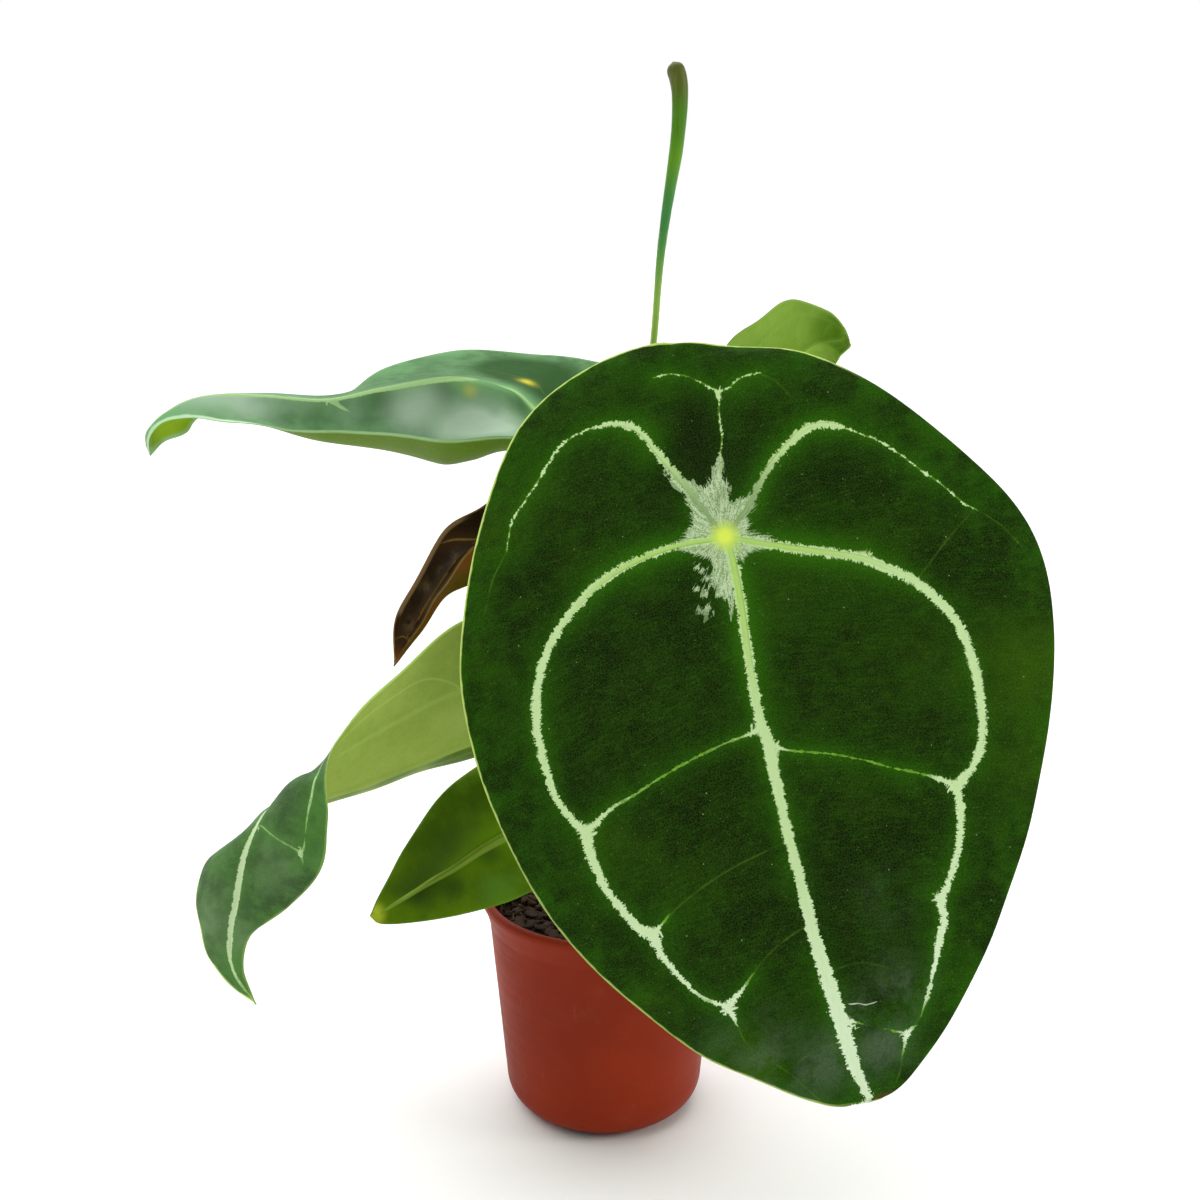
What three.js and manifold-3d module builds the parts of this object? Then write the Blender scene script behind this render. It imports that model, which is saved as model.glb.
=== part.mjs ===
// A potted Anthurium forgetii. Six shield-shaped leaves and one closed flower stand on a short
// crown, in bark mix, in a 12 cm plastic nursery pot. Millimetres, +Z up, -Y is the front.
import * as THREE from "three";
import { mergeVertices } from "three/addons/utils/BufferGeometryUtils.js";
import Module from "manifold-3d";

const wasm = await Module();
wasm.setup();

const GAP = 0.3; // clearance between touching pieces
const CUT = 2; // how far a cutting tool runs past the face it cuts

// Pot
const RIM_R = 60; // outside of the rolled rim
const POT_H = 112;
const COLLAR_H = 14; // flared band under the rim
const NECK_R = 56.3; // outside, just under the collar
const BASE_R = 49.7; // outside, where the wall meets the rounded foot
const FOOT_R = 11; // radius of the rounded foot
const WALL = 1.6;
const RIM_LIP = 4.4; // width of the rolled rim
const RIM_DEPTH = 4;
const POT_SIDES = 48;
const DRAIN_HOLES = 6;
const DRAIN_R = 4;
const DRAIN_RING_R = 23;
const SLOTS = 4; // openings in the rounded foot
const SLOT_W = 17;
const SLOT_H = 4.2;
const SLOT_INNER_R = 34;
const FIRST_SLOT_DEG = -109;

// Bark mix
const SOIL_TOP = 100;
const SOIL_RINGS = 6;

// Crown
const CROWN = new THREE.Vector3(0, 5, 0); // axis of the short stem
const CROWN_FOOT_Z = 66;
const ROOT_R = 1.9;
const ROOT_TAPER = 0.25;
const ROOT_STEPS = 6;
const CROWN_SIDES = 14;
const STALK_SIDES = 8;
const PETIOLE_STEPS = 14;

// Blades
const RIB_BACK = 1.2; // the midrib stands this far out of the underside
const SHEET_HALF = 0.45; // half the thickness of a blade away from its midrib

const finish = (color, roughness) =>
  new THREE.MeshStandardMaterial({ color, roughness, metalness: 0 });
const PLASTIC = finish(0x8c3a2a, 0.5);
const BARK = finish(0x47331a, 0.95);
const CORK = finish(0x6b5a3a, 0.85);
const VELVET = finish(0x203d13, 0.6);
const GREY_VELVET = finish(0x77937a, 0.6);
const LIGHT_BLADE = finish(0x5f7a3f, 0.55);
const YOUNG_BLADE = finish(0x3f5f12, 0.5);
const BRONZE_BLADE = finish(0x2a1d0d, 0.45);
const PALE_STALK = finish(0x7fa045, 0.5);
const BUD = finish(0x5a6f28, 0.5);

// Solid of a closed geometry
function solidOf(geometry) {
  const bare = geometry.index ? geometry.toNonIndexed() : geometry.clone();
  bare.deleteAttribute("normal");
  bare.deleteAttribute("uv");
  const merged = mergeVertices(bare, 1e-4);
  const corner = merged.index.array;
  const kept = [];
  for (let i = 0; i < corner.length; i += 3) {
    const [a, b, c] = [corner[i], corner[i + 1], corner[i + 2]];
    if (a !== b && b !== c && a !== c) kept.push(a, b, c);
  }
  return new wasm.Manifold(
    new wasm.Mesh({
      numProp: 3,
      vertProperties: merged.attributes.position.array,
      triVerts: new Uint32Array(kept),
    }),
  );
}

// Named mesh of a solid
function meshOf(solid, name, material) {
  const { vertProperties, numProp, numVert, triVerts } = solid.getMesh();
  const position = new Float32Array(numVert * 3);
  for (let i = 0; i < numVert; i++) {
    for (let k = 0; k < 3; k++) position[3 * i + k] = vertProperties[numProp * i + k];
  }
  const geometry = new THREE.BufferGeometry();
  geometry.setAttribute("position", new THREE.BufferAttribute(position, 3));
  geometry.setIndex(new THREE.BufferAttribute(new Uint32Array(triVerts), 1));
  geometry.computeVertexNormals();
  const mesh = new THREE.Mesh(geometry, material);
  mesh.name = name;
  return mesh;
}

// Solid turned about the vertical axis; the profile runs from the axis, up the outside, to the axis
const turned = (profile, sides) =>
  new THREE.LatheGeometry(profile.map(([r, z]) => new THREE.Vector2(r, z)), sides).rotateX(Math.PI / 2);

const onCircle = (radius, angle, z) =>
  new THREE.Vector3(radius * Math.cos(angle), radius * Math.sin(angle), z);

// Outer radius of the plain wall at height z
const wallRadius = (z) => BASE_R + ((NECK_R - BASE_R) * (z - FOOT_R)) / (POT_H - COLLAR_H - FOOT_R);

function pot() {
  const profile = [[0, 0]];
  const footSteps = 5;
  const arc = (radius, k) => {
    const angle = (k / footSteps) * (Math.PI / 2);
    return [
      BASE_R - FOOT_R + radius * Math.sin(angle),
      FOOT_R - radius * Math.cos(angle),
    ];
  };
  for (let k = 0; k <= footSteps; k++) profile.push(arc(FOOT_R, k));
  const collarZ = POT_H - COLLAR_H;
  profile.push([NECK_R, collarZ]);
  profile.push([RIM_R - 0.7, POT_H - RIM_DEPTH]);
  profile.push([RIM_R, POT_H - RIM_DEPTH + 0.6]);
  profile.push([RIM_R, POT_H - 0.9]);
  profile.push([RIM_R - 0.9, POT_H]);
  profile.push([RIM_R - RIM_LIP + 0.9, POT_H]);
  profile.push([RIM_R - RIM_LIP, POT_H - 0.9]);
  profile.push([NECK_R - WALL, collarZ]);
  for (let k = footSteps; k >= 0; k--) profile.push(arc(FOOT_R - WALL, k));
  profile.push([0, WALL]);
  let solid = solidOf(turned(profile, POT_SIDES));
  for (let i = 0; i < DRAIN_HOLES; i++) {
    const hole = new THREE.CylinderGeometry(DRAIN_R, DRAIN_R, WALL + 2 * CUT, 16).rotateX(Math.PI / 2);
    const at = onCircle(DRAIN_RING_R, (i / DRAIN_HOLES) * 2 * Math.PI, WALL / 2);
    hole.translate(at.x, at.y, at.z);
    solid = solid.subtract(solidOf(hole));
  }
  for (let i = 0; i < SLOTS; i++) {
    const length = BASE_R + CUT - SLOT_INNER_R;
    const angle = THREE.MathUtils.degToRad(FIRST_SLOT_DEG) + (i / SLOTS) * 2 * Math.PI;
    const slot = new THREE.BoxGeometry(length, SLOT_W, SLOT_H + CUT);
    slot.translate(SLOT_INNER_R + length / 2, 0, (SLOT_H - CUT) / 2);
    slot.rotateZ(angle);
    solid = solid.subtract(solidOf(slot));
  }
  return solid;
}

// Unevenness of the bark mix at a place on its surface
const bumps = (x, y) =>
  1.1 * Math.sin(x * 0.21 + 1.3) * Math.cos(y * 0.17) +
  0.7 * Math.sin(x * 0.43 - y * 0.31) +
  0.5 * Math.cos(x * 0.62 + y * 0.55 + 0.8);

function soil() {
  const inside = (z) => wallRadius(z) - WALL - GAP;
  const footSteps = 4;
  const footR = FOOT_R - WALL - GAP;
  const profile = [[0, WALL + GAP]];
  for (let k = 0; k <= footSteps; k++) {
    const angle = (k / footSteps) * (Math.PI / 2);
    profile.push([
      BASE_R - FOOT_R + footR * Math.sin(angle),
      FOOT_R - footR * Math.cos(angle),
    ]);
  }
  const edgeZ = SOIL_TOP - 4;
  profile.push([inside(edgeZ), edgeZ]);
  for (let k = SOIL_RINGS; k >= 0; k--) {
    profile.push([((inside(edgeZ) - 1.5) * k) / SOIL_RINGS, SOIL_TOP]);
  }
  const geometry = turned(profile, POT_SIDES);
  const p = geometry.attributes.position;
  for (let i = 0; i < p.count; i++) {
    if (p.getZ(i) > SOIL_TOP - 0.01) p.setZ(i, SOIL_TOP + bumps(p.getX(i), p.getY(i)));
  }
  return solidOf(geometry);
}

const curveThrough = (points) => new THREE.CatmullRomCurve3(points, false, "centripetal");

// Stalk: a round body swept along a curve, its radius a function of the way along, 0 to 1
function stalk(curve, radiusAt, steps, grown = 0) {
  const frames = curve.computeFrenetFrames(steps, false);
  const rings = [];
  for (let i = 0; i <= steps; i++) {
    const u = i / steps;
    const centre = curve.getPointAt(u);
    const beyond = i === 0 ? -grown : i === steps ? grown : 0;
    centre.addScaledVector(frames.tangents[i], beyond);
    const ring = [];
    for (let k = 0; k < STALK_SIDES; k++) {
      const angle = (k / STALK_SIDES) * 2 * Math.PI;
      const r = radiusAt(u) + grown;
      ring.push(
        centre
          .clone()
          .addScaledVector(frames.normals[i], r * Math.cos(angle))
          .addScaledVector(frames.binormals[i], r * Math.sin(angle)),
      );
    }
    rings.push(ring);
  }
  const points = rings.flat();
  const faces = [];
  for (let i = 0; i < steps; i++) {
    for (let k = 0; k < STALK_SIDES; k++) {
      const a = i * STALK_SIDES + k;
      const b = i * STALK_SIDES + ((k + 1) % STALK_SIDES);
      faces.push([a, b, b + STALK_SIDES], [a, b + STALK_SIDES, a + STALK_SIDES]);
    }
  }
  const last = steps * STALK_SIDES;
  for (let k = 1; k < STALK_SIDES - 1; k++) {
    faces.push([0, k + 1, k], [last, last + k, last + k + 1]);
  }
  return solidOf(facetsOf(points, faces));
}

function facetsOf(points, faces) {
  const position = [];
  for (const face of faces) for (const corner of face) position.push(...points[corner].toArray());
  const geometry = new THREE.BufferGeometry();
  geometry.setAttribute("position", new THREE.Float32BufferAttribute(position, 3));
  return geometry;
}

// Smooth value at place t, 0 to points.length - 1, on a line through the points
function along(points, t, before) {
  const n = points.length - 1;
  const k = Math.min(Math.floor(t), n - 1);
  const first = before || points[0].clone().multiplyScalar(2).sub(points[1]);
  const beyond = points[n].clone().multiplyScalar(2).sub(points[n - 1]);
  const at = (i) => (i < 0 ? first : i > n ? beyond : points[i]);
  const [a, b, c, d] = [at(k - 1), at(k), at(k + 1), at(k + 2)];
  const x = t - k;
  const mix = (p, q, r, s) =>
    0.5 * (2 * q + (r - p) * x + (2 * p - 5 * q + 4 * r - s) * x * x + (3 * q - p - 3 * r + s) * x * x * x);
  return new THREE.Vector3(mix(a.x, b.x, c.x, d.x), mix(a.y, b.y, c.y, d.y), mix(a.z, b.z, c.z, d.z));
}

// A blade's own lines: left margin, midrib and right margin, seen with the tip away from you and the
// upper face up, and how far each half bulges upward between its midrib and its margin
function linesOf(stations) {
  const point = (p) => (p.isVector3 ? p : new THREE.Vector3(...p));
  return {
    left: stations.map((s) => point(s[0])),
    rib: stations.map((s) => point(s[1])),
    right: stations.map((s) => point(s[2])),
    bulge: stations.map((s) => new THREE.Vector3(s[3], s[4], 0)),
  };
}

function ribDirection(lines, t) {
  const n = lines.rib.length - 1;
  const ahead = along(lines.rib, Math.min(t + 0.01, n));
  return ahead.sub(along(lines.rib, Math.max(t - 0.01, 0))).normalize();
}

// Middle surface of a blade: rows from its base to its tip, columns from left to right margin
function blade(stations, rows, halfColumns) {
  const lines = linesOf(stations);
  const n = stations.length - 1;
  const grid = [];
  for (let i = 0; i <= rows; i++) {
    const t = (i / rows) * n;
    const rib = along(lines.rib, t);
    const tipward = ribDirection(lines, t);
    const edges = [
      along(lines.left, t, lines.right[1]).sub(rib),
      along(lines.right, t, lines.left[1]).sub(rib),
    ];
    const bulge = along(lines.bulge, t).toArray();
    const row = [];
    for (let j = -halfColumns; j <= halfColumns; j++) {
      const side = j < 0 ? 0 : 1;
      const v = Math.abs(j) / halfColumns;
      const up = edges[side].clone().cross(tipward).normalize();
      if (side === 0) up.negate();
      const lift = 4 * v * (1 - v) * bulge[side];
      row.push(rib.clone().addScaledVector(edges[side], v).addScaledVector(up, lift));
    }
    grid.push(row);
  }
  return grid;
}

// Upward direction at each place of a blade's grid
function upwardOf(grid) {
  const rows = grid.length - 1;
  const columns = grid[0].length - 1;
  return grid.map((row, i) =>
    row.map((_, j) => {
      const inner = Math.min(Math.max(i, 1), rows - 1);
      const across = grid[inner][Math.min(j + 1, columns)].clone().sub(grid[inner][Math.max(j - 1, 0)]);
      const tipward = grid[inner + 1][j].clone().sub(grid[inner - 1][j]);
      return across.cross(tipward).normalize();
    }),
  );
}

// Closed sheet on a grid, thicker under its midrib. A pointed end closes to one place, and a blunt
// end gets a face of its own. Both faces are split into triangles alike.
function closedSheet(grid, ribBack, pointed) {
  const upward = upwardOf(grid);
  const rows = grid.length - 1;
  const columns = grid[0].length - 1;
  const middle = columns / 2;
  const isPoint = (i) => pointed && (i === 0 || i === rows);
  const points = [];
  grid.forEach((row, i) =>
    row.forEach((p, j) => {
      const up = upward[i][isPoint(i) ? middle : j];
      const back = j === middle && !isPoint(i) ? ribBack : SHEET_HALF;
      points.push(p.clone().addScaledVector(up, SHEET_HALF));
      points.push(p.clone().addScaledVector(up, -back));
    }),
  );
  const top = (i, j) => 2 * (i * (columns + 1) + (isPoint(i) ? middle : j));
  const under = (i, j) => top(i, j) + 1;
  const faces = [];
  const wall = (i, j, k, l) => {
    faces.push([top(i, j), top(k, l), under(k, l)]);
    faces.push([top(i, j), under(k, l), under(i, j)]);
  };
  for (let i = 0; i < rows; i++) {
    for (let j = 0; j < columns; j++) {
      faces.push([top(i, j), top(i, j + 1), top(i + 1, j + 1)]);
      faces.push([top(i, j), top(i + 1, j + 1), top(i + 1, j)]);
      faces.push([under(i, j), under(i + 1, j + 1), under(i, j + 1)]);
      faces.push([under(i, j), under(i + 1, j), under(i + 1, j + 1)]);
    }
    wall(i, 0, i + 1, 0);
    wall(i + 1, columns, i, columns);
  }
  for (let j = 0; j < columns; j++) {
    wall(0, j + 1, 0, j);
    wall(rows, j, rows, j + 1);
  }
  const isFace = ([a, b, c]) => a !== b && b !== c && a !== c;
  return solidOf(facetsOf(points, faces.filter(isFace)));
}

// Where a petiole meets the underside of a blade, at one of the blade's stations
function seatUnder(stations, index) {
  const lines = linesOf(stations);
  const rib = lines.rib[index];
  const across = lines.right[index].clone().sub(lines.left[index]);
  const up = across.cross(ribDirection(lines, index)).normalize();
  return { end: rib.clone().addScaledVector(up, -RIB_BACK - GAP), up };
}

// Petiole: thicker at its foot, with a swollen joint just under the blade
const FOOT_SWELL = 0.45; // share of the radius added at the foot
const JOINT_SWELL = 0.4; // and at the joint
const JOINT_AT = 0.955; // place of the joint, as a share of the length
const JOINT_LENGTH = 0.035;
const SEAT_RUN = 16; // the last of the petiole stands square to the blade

const petioleRadius = (middle) => (u) => {
  const foot = FOOT_SWELL * Math.exp(-u * 16);
  const joint = JOINT_SWELL * Math.exp(-(((u - JOINT_AT) / JOINT_LENGTH) ** 2));
  return middle * (1 + foot + joint);
};

function petioleCurve(route, stations, index) {
  const { end, up } = seatUnder(stations, index);
  const points = route.map((p) => new THREE.Vector3(...p));
  points.push(end.clone().addScaledVector(up, -SEAT_RUN), end);
  return curveThrough(points);
}

// Front leaf: it hangs tip down and faces the front, so its outline is drawn on its own plane,
// in mm from the petiole: toward the tip, to the right of a person facing it, and forward. Each row
// holds the margin on that person's left, the midrib, the margin on the right and the bulge.
const FRONT_PETIOLE_END = new THREE.Vector3(48.8, -80, 306.8);
const FRONT_TILT = THREE.MathUtils.degToRad(20); // its face looks up by this much
const FRONT_TURN = THREE.MathUtils.degToRad(6.3); // and this much to the left
const FRONT_SWING = THREE.MathUtils.degToRad(15.8); // its tip swings this much to the right
const FRONT_OUTLINE = [
  [[-85, -3, -4], [-85, -3, -4], [-85, -3, -4], 0],
  [[-84, -25, -5], [-80, -2, -3], [-78, 17, -4], 1],
  [[-74, -60, -6], [-68, -1, -2], [-66, 49, -4], 3],
  [[-50, -85, -6], [-46, 0, -2], [-46, 74, -3], 4],
  [[-10, -107, -6], [0, 0, -3], [-8, 101, -3], 5],
  [[28, -119, -5], [28, -2, -2], [28, 118, -4], 5],
  [[64, -121, -4], [56, -3, 0], [66, 118, -5], 5],
  [[104, -114, -4], [98, -5, 0], [103, 106, -6], 4],
  [[141, -100, -4], [138, -5, -1], [139, 89, -5], 4],
  [[172, -80, -5], [171, -4, -2], [170, 69, -4], 3],
  [[198, -58, -6], [197, -3, -3], [196, 49, -3], 2],
  [[217, -34, -6], [217, -2, -4], [217, 27, -3], 1],
  [[227, -14, -6], [227, 0, -5], [227, 12, -4], 0],
  [[229, 0, -5], [229, 0, -5], [229, 0, -5], 0],
];

function frontStations() {
  const forward = new THREE.Vector3(
    -Math.sin(FRONT_TURN) * Math.cos(FRONT_TILT),
    -Math.cos(FRONT_TURN) * Math.cos(FRONT_TILT),
    Math.sin(FRONT_TILT),
  );
  const down = new THREE.Vector3(0, 0, -1).projectOnPlane(forward).normalize();
  const tipward = down.clone().applyAxisAngle(forward, FRONT_SWING);
  const rightward = forward.clone().cross(tipward);
  const place = ([s, t, h]) =>
    FRONT_PETIOLE_END.clone()
      .addScaledVector(tipward, s)
      .addScaledVector(rightward, t)
      .addScaledVector(forward, h);
  return FRONT_OUTLINE.map(([left, rib, right, bulge]) => [
    place(right),
    place(rib),
    place(left),
    bulge,
    bulge,
  ]);
}

// The other leaves: left margin, midrib, right margin, bulge of the left and of the right half
const UPPER_LEFT = [
  [[42, 62, 350], [42, 62, 350], [42, 62, 350], 0, 0],
  [[36, 26, 341], [25, 60, 346], [35, 100, 354], -4, -2],
  [[-2, -8, 333], [-27, 60, 335], [4, 134, 353], -9, -5],
  [[-40, -25, 339], [-47, 56, 349], [-32, 142, 357], -22, -6],
  [[-72, -25, 338], [-72, 52, 356], [-79, 132, 360], -27, -5],
  [[-102, -10, 339], [-104, 45, 352], [-113, 100, 354], -20, -3],
  [[-133, 0, 338], [-132, 36, 347], [-138, 68, 339], -12, 3],
  [[-164, 6, 340], [-160, 28, 350], [-166, 50, 342], -3, 3],
  [[-185, 8, 342], [-185, 20, 351], [-190, 34, 340], 0, 2],
  [[-199, 12, 341], [-201, 17, 345], [-196, 26, 333], 0, 1],
  [[-210, 16, 334], [-213, 18, 334], [-206, 22, 329], 0, 0],
  [[-212, 18, 323], [-212, 18, 323], [-212, 18, 323], 0, 0],
];
const TWISTED = [
  [[1, -34, 222], [1, -34, 222], [1, -34, 222], 0, 0],
  [[-5, -50, 251], [-12, -36, 218], [-6, -18, 195], 0, 0],
  [[-32, -58, 272], [-42, -38, 207], [-32, -14, 192], -3, 0],
  [[-61, -67, 267], [-64, -44, 202], [-62, -16, 186], -4, 0],
  [[-87, -82, 248], [-89, -60, 197], [-89, -36, 185], -3, 0],
  [[-105, -101, 233], [-113, -78, 194], [-115, -58, 183], 0, 0],
  [[-111, -116, 221], [-126, -88, 195], [-129, -66, 183], 5, 2],
  [[-110, -123, 212], [-135, -98, 198], [-145, -78, 184], 8, 1],
  [[-110, -126, 198], [-140, -112, 197], [-151, -96, 182], 6, 1],
  [[-113, -128, 182], [-144, -120, 186], [-164, -109, 176], 4, 2],
  [[-126, -130, 167], [-147, -127, 170], [-166, -119, 164], 2, 2],
  [[-141, -132, 156], [-150, -131, 155], [-162, -127, 149], 1, 1],
  [[-145, -133, 141], [-149, -133, 141], [-155, -131, 137], 0, 0],
  [[-141, -133, 125], [-141, -133, 125], [-141, -133, 125], 0, 0],
];
const LOWER_LEFT = [
  [[-4, -14, 174], [-4, -14, 174], [-4, -14, 174], 0, 0],
  [[-5, -34, 158], [-13, -14, 168], [-11, 0, 183], 0, 0],
  [[-19, -44, 142], [-28, -20, 163], [-36, 2, 187], 2, 2],
  [[-39, -54, 133], [-51, -32, 154], [-62, -12, 179], 3, 3],
  [[-63, -62, 129], [-71, -46, 144], [-78, -30, 170], 2, 3],
  [[-82, -66, 128], [-85, -57, 137], [-91, -47, 154], 1, 2],
  [[-97, -65, 127], [-95, -62, 132], [-98, -58, 138], 0, 0],
  [[-105, -62, 127], [-105, -62, 127], [-105, -62, 127], 0, 0],
];
const BRONZE = [
  [[-11, 32, 314], [-11, 32, 314], [-11, 32, 314], 0, 0],
  [[-13, 29, 297], [-23, 25, 308], [-27, 27, 318], 0, 0],
  [[-28, 20, 281], [-39, 18, 298], [-43, 21, 308], 0, 0],
  [[-46, 22, 268], [-55, 15, 285], [-59, 26, 297], -1, -1],
  [[-61, 24, 261], [-70, 14, 273], [-77, 30, 285], -1, -3],
  [[-76, 21, 254], [-83, 14, 254], [-91, 28, 261], -1, -3],
  [[-89, 18, 236], [-93, 16, 237], [-101, 22, 243], 0, -1],
  [[-102, 18, 220], [-102, 18, 220], [-102, 18, 220], 0, 0],
];
const UPPER_RIGHT = [
  [[54, 74, 314], [54, 74, 314], [54, 74, 314], 0, 0],
  [[76, 86, 306], [63, 70, 323], [53, 54, 342], 0, 0],
  [[94, 86, 321], [74, 64, 342], [56, 42, 369], 2, 2],
  [[108, 80, 338], [88, 60, 359], [71, 40, 383], 4, 2],
  [[114, 74, 357], [101, 60, 370], [88, 44, 393], 4, 2],
  [[116, 66, 364], [111, 60, 373], [107, 52, 387], 2, 1],
  [[119, 62, 368], [117, 60, 373], [116, 58, 379], 0, 0],
  [[120, 60, 370], [120, 60, 370], [120, 60, 370], 0, 0],
];

// Each leaf: its stations, the station that its petiole is seated under, how finely its blade is
// split, its colour, its petiole's radius, and the petiole's way up from the crown
const LEAVES = [
  {
    name: "front",
    stations: frontStations(),
    seat: 4,
    rows: 26,
    halfColumns: 7,
    material: VELVET,
    radius: 2.6,
    route: [[5, 1, 108], [14, -1, 165], [32, -10, 235], [46, -38, 290]],
  },
  {
    name: "upper_left",
    stations: UPPER_LEFT,
    seat: 2,
    rows: 26,
    halfColumns: 5,
    material: GREY_VELVET,
    radius: 2.3,
    route: [[-1, 12, 110], [-4, 28, 190], [-16, 52, 280]],
  },
  {
    name: "twisted",
    stations: TWISTED,
    seat: 2,
    rows: 30,
    halfColumns: 4,
    material: LIGHT_BLADE,
    radius: 2,
    route: [[-2, -3, 106], [-3, -34, 124], [-14, -62, 152], [-34, -68, 182]],
  },
  {
    name: "lower_left",
    stations: LOWER_LEFT,
    seat: 2,
    rows: 16,
    halfColumns: 4,
    material: YOUNG_BLADE,
    radius: 1.6,
    route: [[-7, 2, 106], [-13, 0, 122], [-20, -3, 138]],
  },
  {
    name: "bronze",
    stations: BRONZE,
    seat: 2,
    rows: 16,
    halfColumns: 4,
    material: BRONZE_BLADE,
    radius: 1.4,
    route: [[-9, 8, 108], [-15, 20, 185], [-26, 42, 262]],
  },
  {
    name: "upper_right",
    stations: UPPER_RIGHT,
    seat: 2,
    rows: 16,
    halfColumns: 4,
    material: LIGHT_BLADE,
    radius: 1.7,
    route: [[6, 10, 108], [15, 15, 160], [36, 20, 250], [62, 30, 312]],
  },
];

// Flower: a slender peduncle and a spathe still rolled round its spadix, its tip nodding left
const FLOWER_ROUTE = [
  [0, 5, 116],
  [4, 2, 200],
  [14, -5, 300],
  [21, -10, 378],
  [25, -10, 440],
  [29.5, -10, 478],
  [30, -10, 490],
  [27, -10, 496],
];
const FLOWER = curveThrough(FLOWER_ROUTE.map((p) => new THREE.Vector3(...p)));
const SPATHE_START = 0.815; // share of the flower's length that is bare peduncle
const SPATHE_CLEAR = 0.001; // share of its length between the two pieces
const SPATHE_STEPS = 16;
const PEDUNCLE_R = 1.75;
const PEDUNCLE_SWELL = 0.45; // it widens by this much toward the spathe
const SPATHE_R = 3.6;

// A stretch of a curve as a curve of its own
function stretch(curve, from, to, count) {
  const points = [];
  for (let i = 0; i <= count; i++) points.push(curve.getPointAt(from + ((to - from) * i) / count));
  return curveThrough(points);
}

const spatheRadius = (u) => {
  const swell = THREE.MathUtils.smoothstep(u, 0, 0.5);
  const round = Math.sqrt(Math.max(0.12, 1 - Math.max(0, (u - 0.93) / 0.07) ** 2));
  const start = PEDUNCLE_R + PEDUNCLE_SWELL;
  return (start + (SPATHE_R - start) * swell) * round;
};

// Crown: short knobbly stem, thick roots that dive into the mix, and brown sheaths round the petioles
// each root: direction in degrees, reach
const ROOTS = [
  [-60, 20],
  [35, 24],
  [120, 19],
  [205, 23],
];
// each sheath: direction in degrees, distance from the crown's axis, height
const SHEATHS = [
  [-35, 9, 52],
  [75, 10, 44],
  [150, 9, 36],
  [255, 10, 30],
];
const SHEATH_FOOT_Z = 104;
const SHEATH_ROWS = 6;
const SHEATH_HALF_COLUMNS = 2;
const SHEATH_HALF_WIDTHS = [5, 6, 5.5, 4, 0.5]; // from its foot to its tip

function crown(grown) {
  const profile = [
    [0, CROWN_FOOT_Z - grown],
    [6 + grown, CROWN_FOOT_Z - grown],
    [9 + grown, 80],
    [11.5 + grown, 92],
    [10.5 + grown, 97],
    [12.5 + grown, 102],
    [11.5 + grown, 108],
    [10.5 + grown, 112],
    [7 + grown, 117 + grown],
    [0, 118 + grown],
  ];
  const stem = turned(profile, CROWN_SIDES);
  stem.translate(CROWN.x, CROWN.y, 0);
  let solid = solidOf(stem);
  for (const [degrees, reach] of ROOTS) {
    const angle = THREE.MathUtils.degToRad(degrees);
    const places = [[4, 99], [reach * 0.6, 105], [reach, 99], [reach + 4, 86]];
    const route = places.map(([radius, z]) => onCircle(radius, angle, z).add(CROWN));
    solid = solid.add(stalk(curveThrough(route), (u) => ROOT_R * (1 - ROOT_TAPER * u), ROOT_STEPS, grown));
  }
  return solid;
}

function sheath([degrees, radius, height]) {
  const angle = THREE.MathUtils.degToRad(degrees);
  const stations = SHEATH_HALF_WIDTHS.map((half, k) => {
    const z = SHEATH_FOOT_Z + (height * k) / (SHEATH_HALF_WIDTHS.length - 1);
    const spread = radius + 0.5 * k;
    const turn = half / spread;
    const place = (a, r) => onCircle(r, a, z).add(CROWN).toArray();
    return [place(angle - turn, spread), place(angle, spread + 0.4), place(angle + turn, spread), 0, 0];
  });
  return closedSheet(blade(stations, SHEATH_ROWS, SHEATH_HALF_COLUMNS), SHEET_HALF, false);
}

const plant = new THREE.Group();
const stalks = [];

for (const leaf of LEAVES) {
  const { name, stations, seat, rows, halfColumns, material, radius, route } = leaf;
  const solid = closedSheet(blade(stations, rows, halfColumns), RIB_BACK, true);
  plant.add(meshOf(solid, "blade_" + name, material));
  const curve = petioleCurve(route, stations, seat);
  const shape = (grown) => stalk(curve, petioleRadius(radius), PETIOLE_STEPS, grown);
  stalks.push(shape(GAP));
  plant.add(meshOf(shape(0), "petiole_" + name, PALE_STALK));
}

const bare = stretch(FLOWER, 0, SPATHE_START, 14);
const wrapped = stretch(FLOWER, SPATHE_START + SPATHE_CLEAR, 1, 10);
const peduncle = (grown) => stalk(bare, (u) => PEDUNCLE_R + PEDUNCLE_SWELL * u, PETIOLE_STEPS, grown);
stalks.push(peduncle(GAP));
plant.add(meshOf(peduncle(0), "peduncle", PALE_STALK));
plant.add(meshOf(stalk(wrapped, spatheRadius, SPATHE_STEPS), "spathe", BUD));

let crownSolid = crown(0);
for (const place of SHEATHS) crownSolid = crownSolid.add(sheath(place));
for (const one of stalks) crownSolid = crownSolid.subtract(one);
plant.add(meshOf(crownSolid, "crown", CORK));

plant.add(meshOf(soil().subtract(crown(GAP)), "soil", BARK));
plant.add(meshOf(pot(), "pot", PLASTIC));

export default plant;
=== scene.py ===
"""Looks of a potted Anthurium forgetii: six shield-shaped leaves with pale ragged veins, a flower
still in bud, a short crown with papery sheaths, bark mix and a plain terracotta-red plastic pot.
Lengths in the tables are in millimetres, colours are 8-bit display colours, and +Z is up and -Y is
the front, as in the CAD part."""

import math

import bmesh
import bpy
import numpy as np
from mathutils import Matrix, Vector
from mathutils.kdtree import KDTree


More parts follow.
